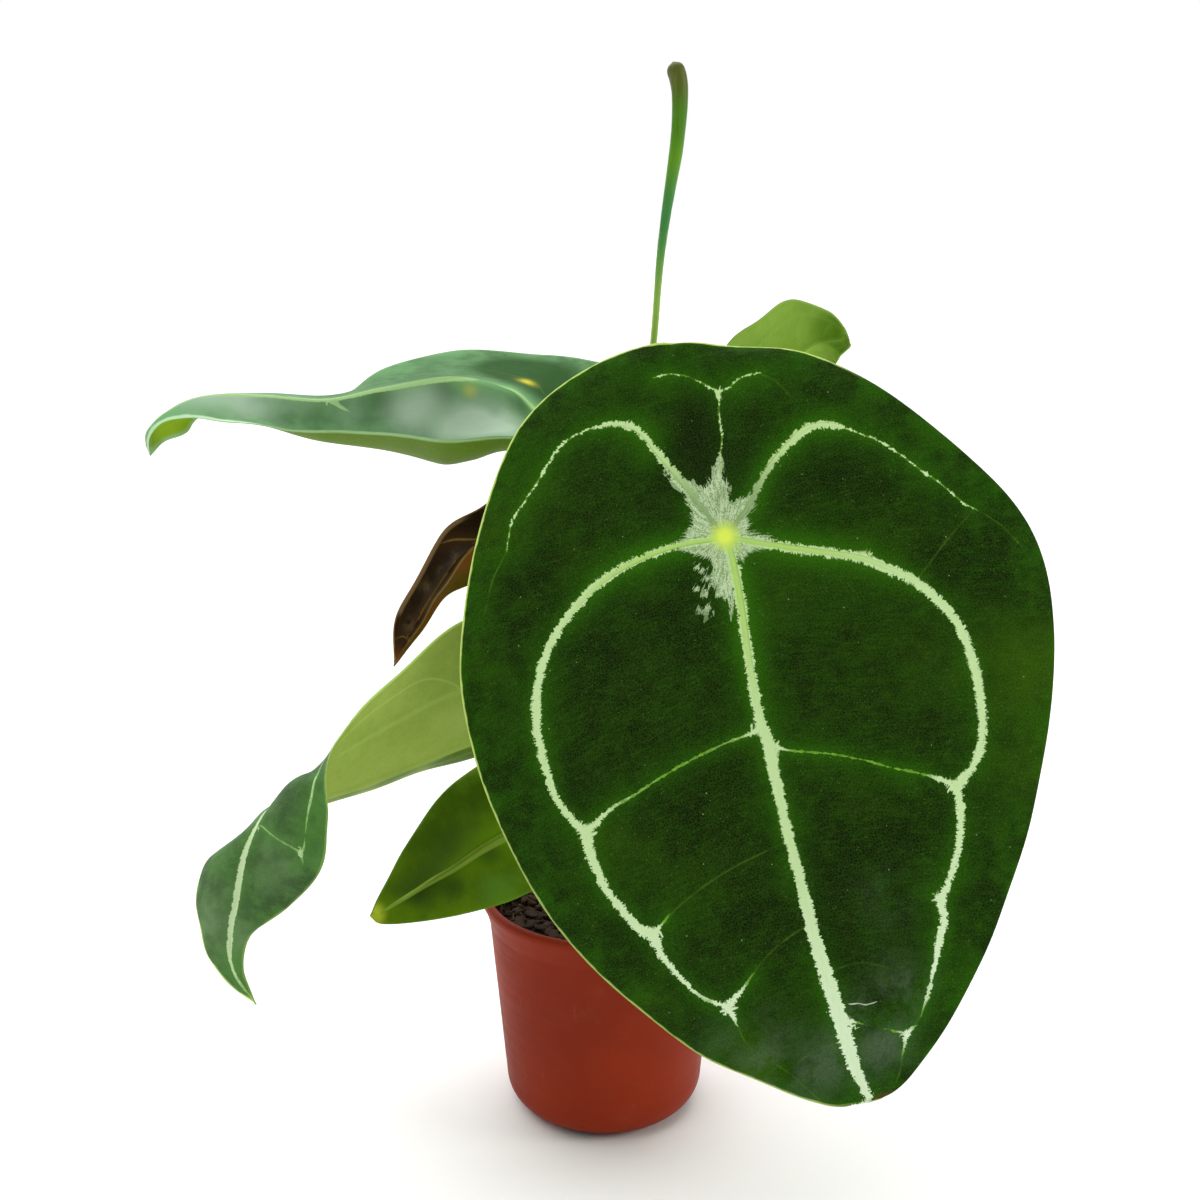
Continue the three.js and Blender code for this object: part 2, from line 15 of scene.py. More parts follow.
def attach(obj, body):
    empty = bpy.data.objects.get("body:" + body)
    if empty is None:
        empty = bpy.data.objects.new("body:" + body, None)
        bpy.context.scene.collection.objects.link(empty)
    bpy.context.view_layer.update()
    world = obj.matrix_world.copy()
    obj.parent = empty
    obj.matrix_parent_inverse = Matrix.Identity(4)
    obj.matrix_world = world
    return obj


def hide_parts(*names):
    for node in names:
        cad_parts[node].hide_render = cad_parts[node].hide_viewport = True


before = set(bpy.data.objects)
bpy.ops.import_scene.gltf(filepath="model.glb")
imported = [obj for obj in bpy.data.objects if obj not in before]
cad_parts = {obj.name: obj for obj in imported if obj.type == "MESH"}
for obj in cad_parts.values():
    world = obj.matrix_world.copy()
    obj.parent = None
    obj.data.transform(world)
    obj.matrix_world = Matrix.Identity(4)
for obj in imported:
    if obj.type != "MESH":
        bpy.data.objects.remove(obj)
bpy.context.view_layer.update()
scene = bpy.context.scene
MM = 0.001
ROUND = 2 * math.pi

# --- camera and light ---

PICTURE = 1200  # pixels a side
LENS, SENSOR = 45, 36
FOCAL = PICTURE * LENS / SENSOR
CAMERA_AT = np.array([-2.0, -675.0, 443.0])
CAMERA_DOWN = math.radians(15.3)
VIEW_UP = np.array([0, math.sin(CAMERA_DOWN), math.cos(CAMERA_DOWN)])
VIEW_AHEAD = np.array([0, math.cos(CAMERA_DOWN), -math.sin(CAMERA_DOWN)])


def linked(name, data):
    """A new object of the scene."""
    made = bpy.data.objects.new(name, data)
    scene.collection.objects.link(made)
    return made


camera = linked("camera", bpy.data.cameras.new("camera"))
camera.data.lens = LENS
camera.data.sensor_width = SENSOR
camera.data.clip_start = 0.01
camera.location = CAMERA_AT * MM
camera.rotation_euler = (math.pi / 2 - CAMERA_DOWN, 0, 0)
scene.camera = camera
scene.view_settings.view_transform = "Standard"


def in_picture(points):
    """Pixels of points in the picture, and the millimetres that one pixel spans there."""
    reach = points - CAMERA_AT
    depth = reach @ VIEW_AHEAD
    x = PICTURE / 2 + FOCAL * reach[..., 0] / depth
    y = PICTURE / 2 - FOCAL * (reach @ VIEW_UP) / depth
    return np.stack([x, y], -1), depth / FOCAL


def lamp(name, kind, energy, **settings):
    made = linked(name, bpy.data.lights.new(name, kind))
    made.data.energy = energy
    for key, value in settings.items():
        setattr(made.data, key, value)
    return made


for name, at, aim, size, power in (
    ("key", (-0.9, -0.9, 1.5), (0, 0, 0.25), 0.9, 5),
    ("right", (1.6, -0.3, 0.8), (0, 0, 0.15), 0.7, 9),
):
    light = lamp(name, "AREA", power, shape="DISK", size=size)
    light.location = at
    light.rotation_euler = (Vector(aim) - Vector(at)).to_track_quat("-Z", "Y").to_euler()
overhead = lamp("overhead", "SUN", 2.7, angle=math.radians(80))
overhead.rotation_euler = (math.radians(-14), math.radians(-10), 0)

# --- shader building ---


def linear(colour):
    """Linear colour of an 8-bit display colour."""
    parts = [c / 255 for c in colour]
    return tuple(c / 12.92 if c <= 0.04045 else ((c + 0.055) / 1.055) ** 2.4 for c in parts) + (1,)


class Value:
    """An output of a node, with the usual signs for sums and products."""

    def __init__(self, shader, socket):
        self.shader, self.socket = shader, socket

    def __add__(self, other):
        return self.shader.math("ADD", self, other)

    def __sub__(self, other):
        return self.shader.math("SUBTRACT", self, other)

    def __rsub__(self, other):
        return self.shader.math("SUBTRACT", other, self)

    def __mul__(self, other):
        return self.shader.math("MULTIPLY", self, other)

    def __abs__(self):
        return self.shader.math("ABSOLUTE", self)


class Shader:
    """A node material, or another tree, with one method for each kind of step it takes."""

    def __init__(self, name, tree=None):
        self.tree = tree
        if not tree:
            self.material = bpy.data.materials.new(name)
            self.material.use_nodes = True
            self.tree = self.material.node_tree
            self.surface = self.tree.nodes["Principled BSDF"]
            self.place = self.node("TexCoord", {}, "Object")

    def put(self, socket, value):
        if isinstance(value, Value):
            self.tree.links.new(value.socket, socket)
        else:
            socket.default_value = value

    def node(self, kind, inputs, output=0, **settings):
        """One output of a new node, whose inputs are given by name or number."""
        made = self.tree.nodes.new("ShaderNode" + kind)
        for key, value in settings.items():
            setattr(made, key, value)
        for key, value in inputs.items():
            self.put(made.inputs[key], value)
        return Value(self, made.outputs[output])

    def math(self, operation, *values):
        return self.node("Math", dict(enumerate(values)), operation=operation)

    def least(self, first, second=1.0):
        return self.math("MINIMUM", first, second)

    def fade(self, distance, rate):
        """Exponential decay from 1 at distance 0."""
        return self.math("EXPONENT", self.math("MAXIMUM", distance, 0.0) * -rate)

    def span(self, value, low, high, start=0.0, end=1.0):
        """Smooth step of value between low and high."""
        inputs = dict(enumerate((value, low, high, start, end)))
        return self.node("MapRange", inputs, interpolation_type="SMOOTHSTEP")

    def mix(self, factor, first, second, blend="MIX"):
        first, second = (linear(c) if isinstance(c, tuple) else c for c in (first, second))
        inputs = {0: factor, 6: first, 7: second}
        return self.node("Mix", inputs, 2, data_type="RGBA", blend_type=blend)

    def over(self, colour, *layers):
        """The colour under layers, each given by its strength and its own colour."""
        for strength, layer in layers:
            colour = self.mix(strength, colour, layer)
        return colour

    def noise(self, scale, detail=3.0, roughness=0.55, distortion=0.0, at=None):
        inputs = {"Vector": at or self.place, "Scale": scale, "Detail": detail}
        return self.node("TexNoise", {**inputs, "Roughness": roughness, "Distortion": distortion})

    def stretched(self, factors, at=None):
        """Place multiplied by a factor along each axis."""
        return self.node("VectorMath", {0: at or self.place, 1: factors}, operation="MULTIPLY")

    def streaks(self, factors, detail, roughness, distortion=0.0, at=None):
        return self.noise(1.0, detail, roughness, distortion, self.stretched(factors, at))

    def cells(self, scale, feature="F1", at=None):
        inputs = {"Vector": at or self.place, "Scale": scale, "Randomness": 1.0}
        return self.node("TexVoronoi", inputs, "Distance", feature=feature)

    def field(self, name, output="Fac"):
        return self.node("Attribute", {}, output, attribute_name=name)

    def done(self, colour, rough, shine, *bumps, **inputs):
        """The material. Bumps are given by their height, its distance and their strength."""
        given = {"Base Color": colour, "Roughness": rough, "Specular IOR Level": shine}
        for height, distance, strength in bumps:
            bump = {"Height": height, "Distance": distance, "Strength": strength}
            below = {"Normal": given["Normal"]} if "Normal" in given else {}
            given["Normal"] = self.node("Bump", {**bump, **below})
        for key, value in {**given, **inputs}.items():
            self.put(self.surface.inputs[key.replace("_", " ")], value)
        return self.material


def studio_world():
    """A bright backdrop behind the plant and a dim room in front; seen directly it is white."""
    world = bpy.data.worlds.new("studio")
    world.use_nodes = True
    world.node_tree.nodes.clear()
    s = Shader("studio", world.node_tree)
    way = s.node("SeparateXYZ", {0: s.node("TexCoord", {}, "Generated")}, "Y")
    white = (1, 1, 1, 1)
    room = s.node("Background", {0: white, 1: s.span(way, -0.25, 0.5, 0.2, 1.0)})
    seen = s.node("Background", {0: white, 1: 1.0})
    shown = s.node("MixShader", {0: s.node("LightPath", {}, "Is Camera Ray"), 1: room, 2: seen})
    s.put(world.node_tree.nodes.new("ShaderNodeOutputWorld").inputs["Surface"], shown)
    scene.world = world


studio_world()

# --- lines and meshes ---


def unit(vectors):
    return vectors / np.maximum(np.linalg.norm(vectors, axis=-1, keepdims=True), 1e-9)


def step(value, low, high):
    x = np.clip((value - low) / (high - low), 0, 1)
    return x * x * (3 - 2 * x)


def turns(count):
    return np.linspace(0, ROUND, count, endpoint=False)


def run_of(line):
    """Length along a line at each of its points."""
    return np.concatenate([[0], np.cumsum(np.linalg.norm(np.diff(line, axis=0), axis=1))])


def through(points, places, before=None):
    """Points at places 0 to n of an evenly keyed smooth line through n + 1 points."""
    points = np.asarray(points, float)
    first = 2 * points[0] - points[1] if before is None else before
    padded = np.vstack([first, points, 2 * points[-1] - points[-2]])
    k = np.clip(np.floor(places).astype(int), 0, len(points) - 2)
    x = (places - k)[:, None]
    a, b, c, d = (padded[k + i] for i in range(4))
    square, cube = 2 * a - 5 * b + 4 * c - d, 3 * b - a - 3 * c + d
    return 0.5 * (2 * b + (c - a) * x + square * x**2 + cube * x**3)


def refined(points, times):
    """A smooth line through the points, with that many steps between two of them."""
    return through(points, np.linspace(0, len(points) - 1, (len(points) - 1) * times + 1))


def route(points, count):
    """Evenly spaced points of a centripetal spline, and their share of its length."""
    points = np.asarray(points, float)
    padded = np.vstack([2 * points[0] - points[1], points, 2 * points[-1] - points[-2]])
    fine = []
    for k in range(len(points) - 1):
        p0, p1, p2, p3 = padded[k : k + 4]
        d0, d1, d2 = (math.sqrt(np.linalg.norm(q - p)) for p, q in ((p0, p1), (p1, p2), (p2, p3)))
        m1 = d1 * ((p1 - p0) / d0 - (p2 - p0) / (d0 + d1) + (p2 - p1) / d1)
        m2 = d1 * ((p2 - p1) / d1 - (p3 - p1) / (d1 + d2) + (p3 - p2) / d2)
        square, cube = -3 * p1 + 3 * p2 - 2 * m1 - m2, 2 * p1 - 2 * p2 + m1 + m2
        for x in np.linspace(0, 1, 60, endpoint=False):
            fine.append(p1 + m1 * x + square * x**2 + cube * x**3)
    fine = np.array(fine + [points[-1]])
    length, share = run_of(fine), np.linspace(0, 1, count)
    return np.stack([np.interp(share * length[-1], length, axis) for axis in fine.T], 1), share


def ring_faces(rings, around, first=0):
    """Faces between rings of vertices that follow one another."""
    k = np.arange(around)
    n = (k + 1) % around
    start = first + np.arange(rings - 1)[:, None] * around
    four = [start + k, start + n, start + around + n, start + around + k]
    return np.stack(four, -1).reshape(-1, 4).tolist()


def capped_faces(rings, around):
    """The same, with a fan at each end to one of the two vertices that follow the rings."""
    last, tip = (rings - 1) * around, rings * around
    faces = ring_faces(rings, around)
    for k in range(around):
        n = (k + 1) % around
        faces += [[tip, n, k], [tip + 1, last + k, last + n]]
    return faces


def shell_faces(top, low):
    """Faces of a closed thin sheet between two grids of vertex numbers, and for each of them 0 for
    above, 1 for below or 2 for the rim. Corners with the same number count once."""
    faces, kinds = [], []
    for kind, *corners in (
        (0, top[:-1, :-1], top[:-1, 1:], top[1:, 1:], top[1:, :-1]),
        (1, low[:-1, :-1], low[1:, :-1], low[1:, 1:], low[:-1, 1:]),
        (2, top[:-1, 0], top[1:, 0], low[1:, 0], low[:-1, 0]),
        (2, top[1:, -1], top[:-1, -1], low[:-1, -1], low[1:, -1]),
        (2, top[0, 1:], top[0, :-1], low[0, :-1], low[0, 1:]),
        (2, top[-1, :-1], top[-1, 1:], low[-1, 1:], low[-1, :-1]),
    ):
        for four in np.stack(corners, -1).reshape(-1, 4).tolist():
            kept = list(dict.fromkeys(four))
            if len(kept) > 2:
                faces.append(kept)
                kinds.append(kind)
    return faces, kinds


def made_object(name, vertices, faces, materials, kinds=None, smooth=True, fields=None):
    """Mesh object from millimetre vertices, with its materials and per-vertex fields."""
    mesh = bpy.data.meshes.new(name)
    mesh.from_pydata((np.asarray(vertices) * MM).tolist(), [], faces)
    for one in materials:
        mesh.materials.append(one)
    if kinds:
        mesh.polygons.foreach_set("material_index", kinds)
    mesh.polygons.foreach_set("use_smooth", [smooth] * len(mesh.polygons))
    for key, values in (fields or {}).items():
        values = np.asarray(values, np.float32)
        kind, slot = ("FLOAT_VECTOR", "vector") if values.ndim == 2 else ("FLOAT", "value")
        mesh.attributes.new(key, kind, "POINT").data.foreach_set(slot, values.ravel())
    mesh.validate()
    mesh.update()
    return linked(name, mesh)


def keep(piece, slot, *nodes):
    """The piece stands for these CAD nodes and moves with the plant."""
    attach(piece, "root")
    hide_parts(*nodes)


def framed(line):
    """Tangents and two side directions that don't twist along a line."""
    tangents = unit(np.gradient(line, axis=0))
    side = np.cross(tangents[0], (0, 1, 0.2))
    sides = []
    for tangent in tangents:
        side = side - tangent * (side @ tangent)
        side = side / np.linalg.norm(side)
        sides.append(side)
    return tangents, np.array(sides), np.cross(tangents, sides)


def rings_about(points, sides, others, radii):
    """Rings of vertices about points, with a radius for each ring and angle."""
    angles = turns(radii.shape[1])[:, None]
    ways = np.cos(angles) * sides[:, None] + np.sin(angles) * others[:, None]
    return (points[:, None] + ways * radii[..., None]).reshape(-1, 3)


DOME = np.array([0.35, 0.8, 1.25])  # angles of the rings that close a tube's end
DOME_DEPTH = 0.6


def tube(name, line, radii, around, look, flutes, seed):
    """Round body swept along a line, closed by domed ends. radii holds one for each point."""
    noise = np.random.default_rng(seed)
    tangents, sides, others = framed(line)
    angles = turns(around)
    wobble = 1 + flutes * np.cos(angles * 5 + noise.uniform(0, 6))
    wobble += flutes * 0.6 * np.cos(angles * 9 + noise.uniform(0, 6))
    at = np.array([0] * 3 + [*range(len(line))] + [len(line) - 1] * 3)
    high = np.concatenate([np.sin(DOME), np.ones(len(line)), np.sin(DOME[::-1])])
    push = np.concatenate([-np.cos(DOME), np.zeros(len(line)), np.cos(DOME[::-1])]) * DOME_DEPTH
    points = line[at] + tangents[at] * (radii[at] * push)[:, None]
    rings = rings_about(points, sides[at], others[at], (radii[at] * high)[:, None] * wobble)
    ends = line[[0, -1]] + tangents[[0, -1]] * (radii[[0, -1]] * (-DOME_DEPTH, DOME_DEPTH))[:, None]
    along = np.append(np.repeat(at / (len(line) - 1), around), [0, 1])
    faces = capped_faces(len(at), around)
    return made_object(name, np.vstack([rings, ends]), faces, [look], fields={"along": along})


def lathe(profile, around):
    """Vertices and faces of a profile turned about the vertical axis, from the axis to the axis."""
    a = turns(around)
    r, z = np.array(profile[1:-1], float).T[..., None]
    rings = np.stack([r * np.cos(a), r * np.sin(a), z + 0 * a], -1).reshape(-1, 3)
    return np.vstack([rings, (0, 0, profile[0][1]), (0, 0, profile[-1][1])]), capped_faces(len(r), around)


# --- blade shapes ---

RIB_BACK = 1.2
GAP = 0.3
SHEET = 0.55  # thickness of a blade between its veins
RIM = 0.24  # and at its margin

# Each row is a station along a blade: left margin, midrib, right margin and the bulge of each half.
# The front leaf's are tipward, to the left and forward of its middle, and its halves bulge alike.
FRONT_AT = np.array([48.8, -80, 306.8])
FRONT_TILT, FRONT_TURN, FRONT_SWING = (math.radians(a) for a in (20, 6.3, 15.8))
FRONT_OUTLINE = np.array([
    (-85, -3, -4, -85, -3, -4, -85, -3, -4, 0),
    (-86, -25.4, -5, -80, -2, -3, -78.6, 17, -4, 1),
    (-75.2, -60.7, -6, -68, -1, -2, -66.7, 49.3, -4, 3),
    (-50.4, -85.6, -6, -46, 0, -2, -46.2, 74, -3, 4),
    (-10, -107.4, -6, 0, 0, -3, -8.8, 102.3, -3, 5),
    (28, -119.8, -5, 28, -2, -2, 27.6, 119.6, -4, 5),
    (64, -121.5, -4, 56, -3, 0, 66, 118.2, -5, 5),
    (104.5, -115.2, -4, 98, -5, 0, 103.2, 106.4, -6, 4),
    (142.2, -101.9, -4, 138, -5, -1, 139, 89.2, -5, 4),
    (173.3, -81.8, -5, 171, -4, -2, 170.2, 69.3, -4, 3),
    (199.4, -59.5, -6, 197, -3, -3, 196, 49, -3, 2),
    (217.6, -34.3, -6, 218, -2, -4, 217.3, 27.2, -3, 1),
    (229.2, -15, -6, 229, 0, -5, 228, 12.2, -4, 0),
    (230.8, 0, -5, 230.8, 0, -5, 230.8, 0, -5, 0),
])


def front_stations():
    level = math.cos(FRONT_TILT)
    forward = np.array([-math.sin(FRONT_TURN) * level, -math.cos(FRONT_TURN) * level, math.sin(FRONT_TILT)])
    down = np.array([0, 0, -1.0])
    down = unit(down - forward * (down @ forward))
    tipward = down * math.cos(FRONT_SWING) + np.cross(forward, down) * math.sin(FRONT_SWING)
    axes = np.stack([tipward, np.cross(forward, tipward), forward])
    points = FRONT_AT + FRONT_OUTLINE[:, :9].reshape(-1, 3, 3)[:, ::-1] @ axes
    return np.hstack([points.reshape(-1, 9), FRONT_OUTLINE[:, [9, 9]]])


STATIONS = {
    "front": front_stations(),
    "upper_left": [
        (42, 62, 350, 42, 62, 350, 42, 62, 350, 0, 0),
        (36, 26, 341, 25, 60, 346, 35, 100, 354, -4, -2),
        (-2, -8, 333, -27, 60, 335, 4, 134, 353, -9, -5),
        (-40, -25, 339, -47, 56, 349, -32, 142, 357, -22, -6),
        (-72, -25, 338, -72, 52, 356, -79, 132, 360, -27, -5),
        (-102, -10, 339, -104, 45, 352, -113, 100, 354, -20, -3),
        (-133, 0, 338, -132, 36, 347, -138, 68, 339, -12, 3),
        (-164, 6, 340, -160, 28, 350, -166, 50, 342, -3, 3),
        (-185, 8, 342, -185, 20, 351, -190, 34, 340, 0, 2),
        (-199, 12, 341, -201, 17, 345, -196, 26, 333, 0, 1),
        (-210, 16, 334, -213, 18, 334, -206, 22, 329, 0, 0),
        (-212, 18, 323, -212, 18, 323, -212, 18, 323, 0, 0),
    ],
    "twisted": [
        (1, -34, 222, 1, -34, 222, 1, -34, 222, 0, 0),
        (-5, -50, 251, -12, -36, 218, -6, -18, 195, 0, 0),
        (-32, -58, 272, -42, -38, 207, -32, -14, 192, -3, 0),
        (-61, -67, 267, -64, -44, 202, -62, -16, 186, -4, 0),
        (-87, -82, 248, -89, -60, 197, -89, -36, 185, -3, 0),
        (-105, -101, 233, -113, -78, 194, -115, -58, 183, 0, 0),
        (-111, -116, 221, -126, -88, 195, -129, -66, 183, 5, 2),
        (-110, -123, 212, -135, -98, 198, -145, -78, 184, 8, 1),
        (-110, -126, 198, -140, -112, 197, -151, -96, 182, 6, 1),
        (-113, -128, 182, -144, -120, 186, -164, -109, 176, 4, 2),
        (-126, -130, 167, -147, -127, 170, -166, -119, 164, 2, 2),
        (-141, -132, 156, -150, -131, 155, -162, -127, 149, 1, 1),
        (-145, -133, 141, -149, -133, 141, -155, -131, 137, 0, 0),
        (-141, -133, 125, -141, -133, 125, -141, -133, 125, 0, 0),
    ],
    "lower_left": [
        (-4, -14, 174, -4, -14, 174, -4, -14, 174, 0, 0),
        (-5, -34, 158, -13, -14, 168, -11, 0, 183, 0, 0),
        (-19, -44, 142, -28, -20, 163, -36, 2, 187, 2, 2),
        (-39, -54, 133, -51, -32, 154, -62, -12, 179, 3, 3),
        (-63, -62, 129, -71, -46, 144, -78, -30, 170, 2, 3),
        (-84, -66, 127, -86, -57, 137, -91, -47, 154, 1, 2),
        (-100, -65, 125.6, -98, -62, 131, -101, -58, 137.5, 0, 0),
        (-105.5, -62, 128, -105.5, -62, 128, -105.5, -62, 128, 0, 0),
    ],
    "bronze": [
        (-11, 32, 314, -11, 32, 314, -11, 32, 314, 0, 0),
        (-13, 29, 297, -23, 25, 308, -27, 27, 318, 0, 0),
        (-28, 20, 281, -39, 18, 298, -43, 21, 308, 0, 0),
        (-46, 22, 268, -55, 15, 285, -59, 26, 297, -1, -1),
        (-61, 24, 261, -70, 14, 273, -77, 30, 285, -1, -3),
        (-76, 21, 254, -83, 14, 254, -91, 28, 261, -1, -3),
        (-89, 18, 236, -93, 16, 237, -101, 22, 243, 0, -1),
        (-102, 18, 220, -102, 18, 220, -102, 18, 220, 0, 0),
    ],
    "upper_right": [
        (54, 74, 314, 54, 74, 314, 54, 74, 314, 0, 0),
        (76, 86, 306, 63, 70, 323, 53, 54, 342, 0, 0),
        (94, 86, 321, 74, 64, 342, 56, 42, 369, 2, 2),
        (108, 80, 338, 88, 60, 359, 71, 40, 383, 4, 2),
        (114, 74, 357, 101, 60, 370, 88, 44, 393, 4, 2),
        (116, 66, 364, 111, 60, 373, 107, 52, 387, 2, 1),
        (119, 62, 368, 117, 60, 373, 116, 58, 379, 0, 0),
        (120, 60, 370, 120, 60, 370, 120, 60, 370, 0, 0),
    ],
}
STATIONS = {name: np.array(rows, float) for name, rows in STATIONS.items()}


def rails(stations, places, reach=0.35):
    """Left margin, midrib, right margin, bulge of each half and tipward direction at places along
    a blade. The direction is taken over a reach to both sides, so that deep folds stay smooth."""
    left, rib, right = (stations[:, i : i + 3] for i in (0, 3, 6))
    ahead = through(rib, np.minimum(places + reach, len(rib) - 1))
    behind = through(rib, np.maximum(places - reach, 0))
    lines = through(left, places, right[1]), through(rib, places), through(right, places, left[1])
    return *lines, through(stations[:, 9:], places), unit(ahead - behind)


def sheet_points(stations, places, across):
    """Middle surface at places along a blade, at several places from -1 to 1 across each."""
    left, rib, right, bulge, tipward = rails(stations, places)
    on_left = (across < 0)[..., None]
    part = np.abs(across)[..., None]
    edge = np.where(on_left, (left - rib)[:, None], (right - rib)[:, None])
    up = unit(np.cross(edge, tipward[:, None]))
    lift = 4 * part * (1 - part) * np.where(on_left, bulge[:, :1, None], bulge[:, 1:, None])
    return rib[:, None] + edge * part + np.where(on_left, -up, up) * lift


def rows_of(stations, spacing):
    """Places along a blade that are about evenly spaced on its margins and its midrib."""
    fine = np.linspace(0, len(stations) - 1, 600)
    pace = [np.linalg.norm(np.diff(line, axis=0), axis=1) for line in rails(stations, fine)[:3]]
    length = np.concatenate([[0], np.cumsum(np.max(pace, axis=0))])
    return np.interp(np.linspace(0, length[-1], int(length[-1] / spacing) + 1), length, fine)


def columns_of(stations, places, spacing):
    """Places across a blade, the last ones close to its margins."""
    left, rib, right = rails(stations, places)[:3]
    widths = [np.linalg.norm(line - rib, axis=1) for line in (left, right)]
    count = int(np.max(widths) / spacing) + 2
    sides = []
    for width in widths:
        rim = np.minimum(0.5 / np.maximum(width, 1e-6), 0.5 / count)
        inner = np.linspace(0, 1, count)[None] * (1 - rim[:, None])
        sides.append(np.concatenate([inner, np.ones((len(places), 1))], 1))
    return np.concatenate([-sides[0][:, ::-1], sides[1][:, 1:]], 1)


def upward(grid):
    up = unit(np.cross(np.gradient(grid, axis=1), np.gradient(grid, axis=0)))
    up[0], up[-1] = up[1], up[-2]
    return up


def seat_of(name, index):
    """Where a petiole meets the underside at a station, and the upward direction there."""
    left, rib, right, _, tipward = rails(STATIONS[name], np.array([float(index)]), 0.01)
    return rib[0], unit(np.cross(right - left, tipward))[0]


# --- vein patterns ---


def on_blade(grid, pixels):
    """Points of a blade's grid that show at these pixels, nearest the camera where several do."""
    seen, scale = in_picture(grid)
    found = []
    for pixel in np.asarray(pixels, float):
        off = np.linalg.norm(seen - pixel, axis=-1)
        near = np.where(off < off.min() + 4, scale * 1000 + off * 2, np.inf)
        i, j = np.unravel_index(np.argmin(near), near.shape)
        i, j = (min(max(k, 1), size - 2) for k, size in zip((i, j), near.shape))
        slopes, moves = (
            np.stack([of[i + 1, j] - of[i - 1, j], of[i, j + 1] - of[i, j - 1]], 1) for of in (seen, grid)
        )
        shift = np.linalg.lstsq(slopes, pixel - seen[i, j], rcond=None)[0]
        found.append(grid[i, j] + moves @ np.clip(shift, -3, 3))
    return np.array(found)


def band(points, ups, line, halves):
    """For each point, with the upward direction there: distance from the edge of the band along a
    line, place along it, signed distance from its middle, and its half width."""
    best = np.full((4, len(points)), 1e3)
    run = 0.0
    for a, b, half, after in zip(line, line[1:], halves, halves[1:]):
        length = np.linalg.norm(b - a)
        if length < 1e-6:
            continue
        reach = points - a
        share = np.clip(reach @ (b - a) / length**2, 0, 1)
        away = reach - share[:, None] * (b - a)
        far = np.linalg.norm(away, axis=1)
        wide = half + (after - half) * share
        nearer = far - wide < best[0]
        side = np.sign(np.einsum("ij,ij->i", away, np.cross(b - a, ups)))
        found = np.array([far - wide, run + share * length, far * np.where(side == 0, 1, side), wide])
        best[:, nearer] = found[:, nearer]
        run += length
    return best


def joined(distances, softness):
    """Smooth union of bands: the least distance, with their meetings filled out."""
    least = distances.min(0)
    return least - softness * np.log(np.exp(-(distances - least) / softness).sum(0))


def inside_distance(points, corners):
    """Distance from a closed outline in the plane, negative inside."""
    corners = np.asarray(corners, float)
    inside = np.zeros(len(points), bool)
    best = np.full(len(points), np.inf)
    for a, b in zip(corners, np.roll(corners, -1, axis=0)):
        share = np.clip((points - a) @ (b - a) / ((b - a) @ (b - a)), 0, 1)
        best = np.minimum(best, np.linalg.norm(points - a - share[:, None] * (b - a), axis=1))
        if a[1] != b[1]:
            crossing = (a[1] > points[:, 1]) != (b[1] > points[:, 1])
            x = a[0] + (points[:, 1] - a[1]) * (b[0] - a[0]) / (b[1] - a[1])
            inside ^= crossing & (points[:, 0] < x)
    return np.where(inside, -best, best)


# Front leaf: pixels of the picture and half the width there, also in pixels. The ashy ones are the
# greyish veins of the upper lobes, which break up where they are thin.
PETIOLE_PIXEL = (725, 536)
FRONT_VEINS = [
    [(725, 536, 5), (732, 557, 6), (740, 598, 6), (746, 638, 5.4), (752, 679, 5.6), (760, 720, 6),
     (769, 745, 7), (777, 786, 6.2), (787, 831, 5.8), (799, 875, 6), (811, 924, 7), (824, 969, 7.6),
     (840, 1018, 8.6), (852, 1059, 7.2), (862, 1084, 5.4), (868, 1096, 4.4), (872, 1104, 3.4)],
    [(725, 536, 4), (709, 540, 4), (685, 544, 4), (660, 551, 4), (636, 561, 4.2), (611, 575, 4.6),
     (591, 591, 4.8), (571, 612, 4.8), (556, 634, 4.6), (546, 655, 4.6), (539, 679, 5), (536, 704, 5.2),
     (538, 736, 5), (547, 773, 4.4), (558, 802, 4.2), (575, 822, 4.6), (585, 833, 6), (591, 855, 5.6),
     (603, 884, 4.6), (620, 908, 4.4), (640, 929, 5), (652, 935, 6), (662, 955, 4), (681, 978, 3),
     (697, 994, 2), (711, 1001, 1.8), (728, 1008, 4), (736, 1022, 1.6)],
    [(585, 833, 5.4), (597, 822, 3.4), (615, 806, 1.7), (636, 794, 1.3), (660, 778, 1.2),
     (693, 759, 1.2), (726, 743, 1.3), (745, 736, 1.6), (760, 730, 3.4)],
    [(652, 935, 5.4), (662, 924, 1.6), (668, 917, 0.8)],
    [(728, 1008, 4.4), (735, 998, 3.2), (742, 990, 2), (752, 975, 0.8)],
    [(725, 536, 4), (742, 540, 4.6), (766, 544, 5), (799, 549, 5.2), (828, 553, 5.2), (860, 558, 5.4),
     (889, 569, 5.2), (918, 583, 5.4), (942, 604, 5.4), (960, 628, 5.2), (971, 655, 5.2), (978, 683, 5.2),
     (982, 712, 5), (982, 733, 4.8), (977, 761, 4.4), (962, 780, 5.2), (956, 788, 5.8), (960, 802, 4.4),
     (960, 835, 4.2), (955, 863, 3.8), (948, 884, 3.6), (941, 900, 5.2), (944, 916, 4), (939, 941, 4.2),
     (935, 965, 2.4), (928, 994, 2), (921, 1014, 1)],
    [(913, 1027, 1.6), (907, 1033, 2.6), (904, 1047, 1.4), (902, 1056, 0.9)],
    [(860, 556, 3), (864, 552, 1.4), (868, 550, 0.5)],
    [(941, 900, 4), (934, 895, 0.8)],
    [(956, 788, 5), (942, 780, 2.6), (918, 773, 1.1), (889, 767, 0.9), (864, 760, 0.9), (832, 754, 1.0),
     (795, 751, 1.2), (783, 749, 2), (772, 747, 4)],
    [(907, 1033, 2), (896, 1031, 1.2), (887, 1029, 0.5)],
    [(848, 1021, 3), (860, 1023, 0.8)],
]
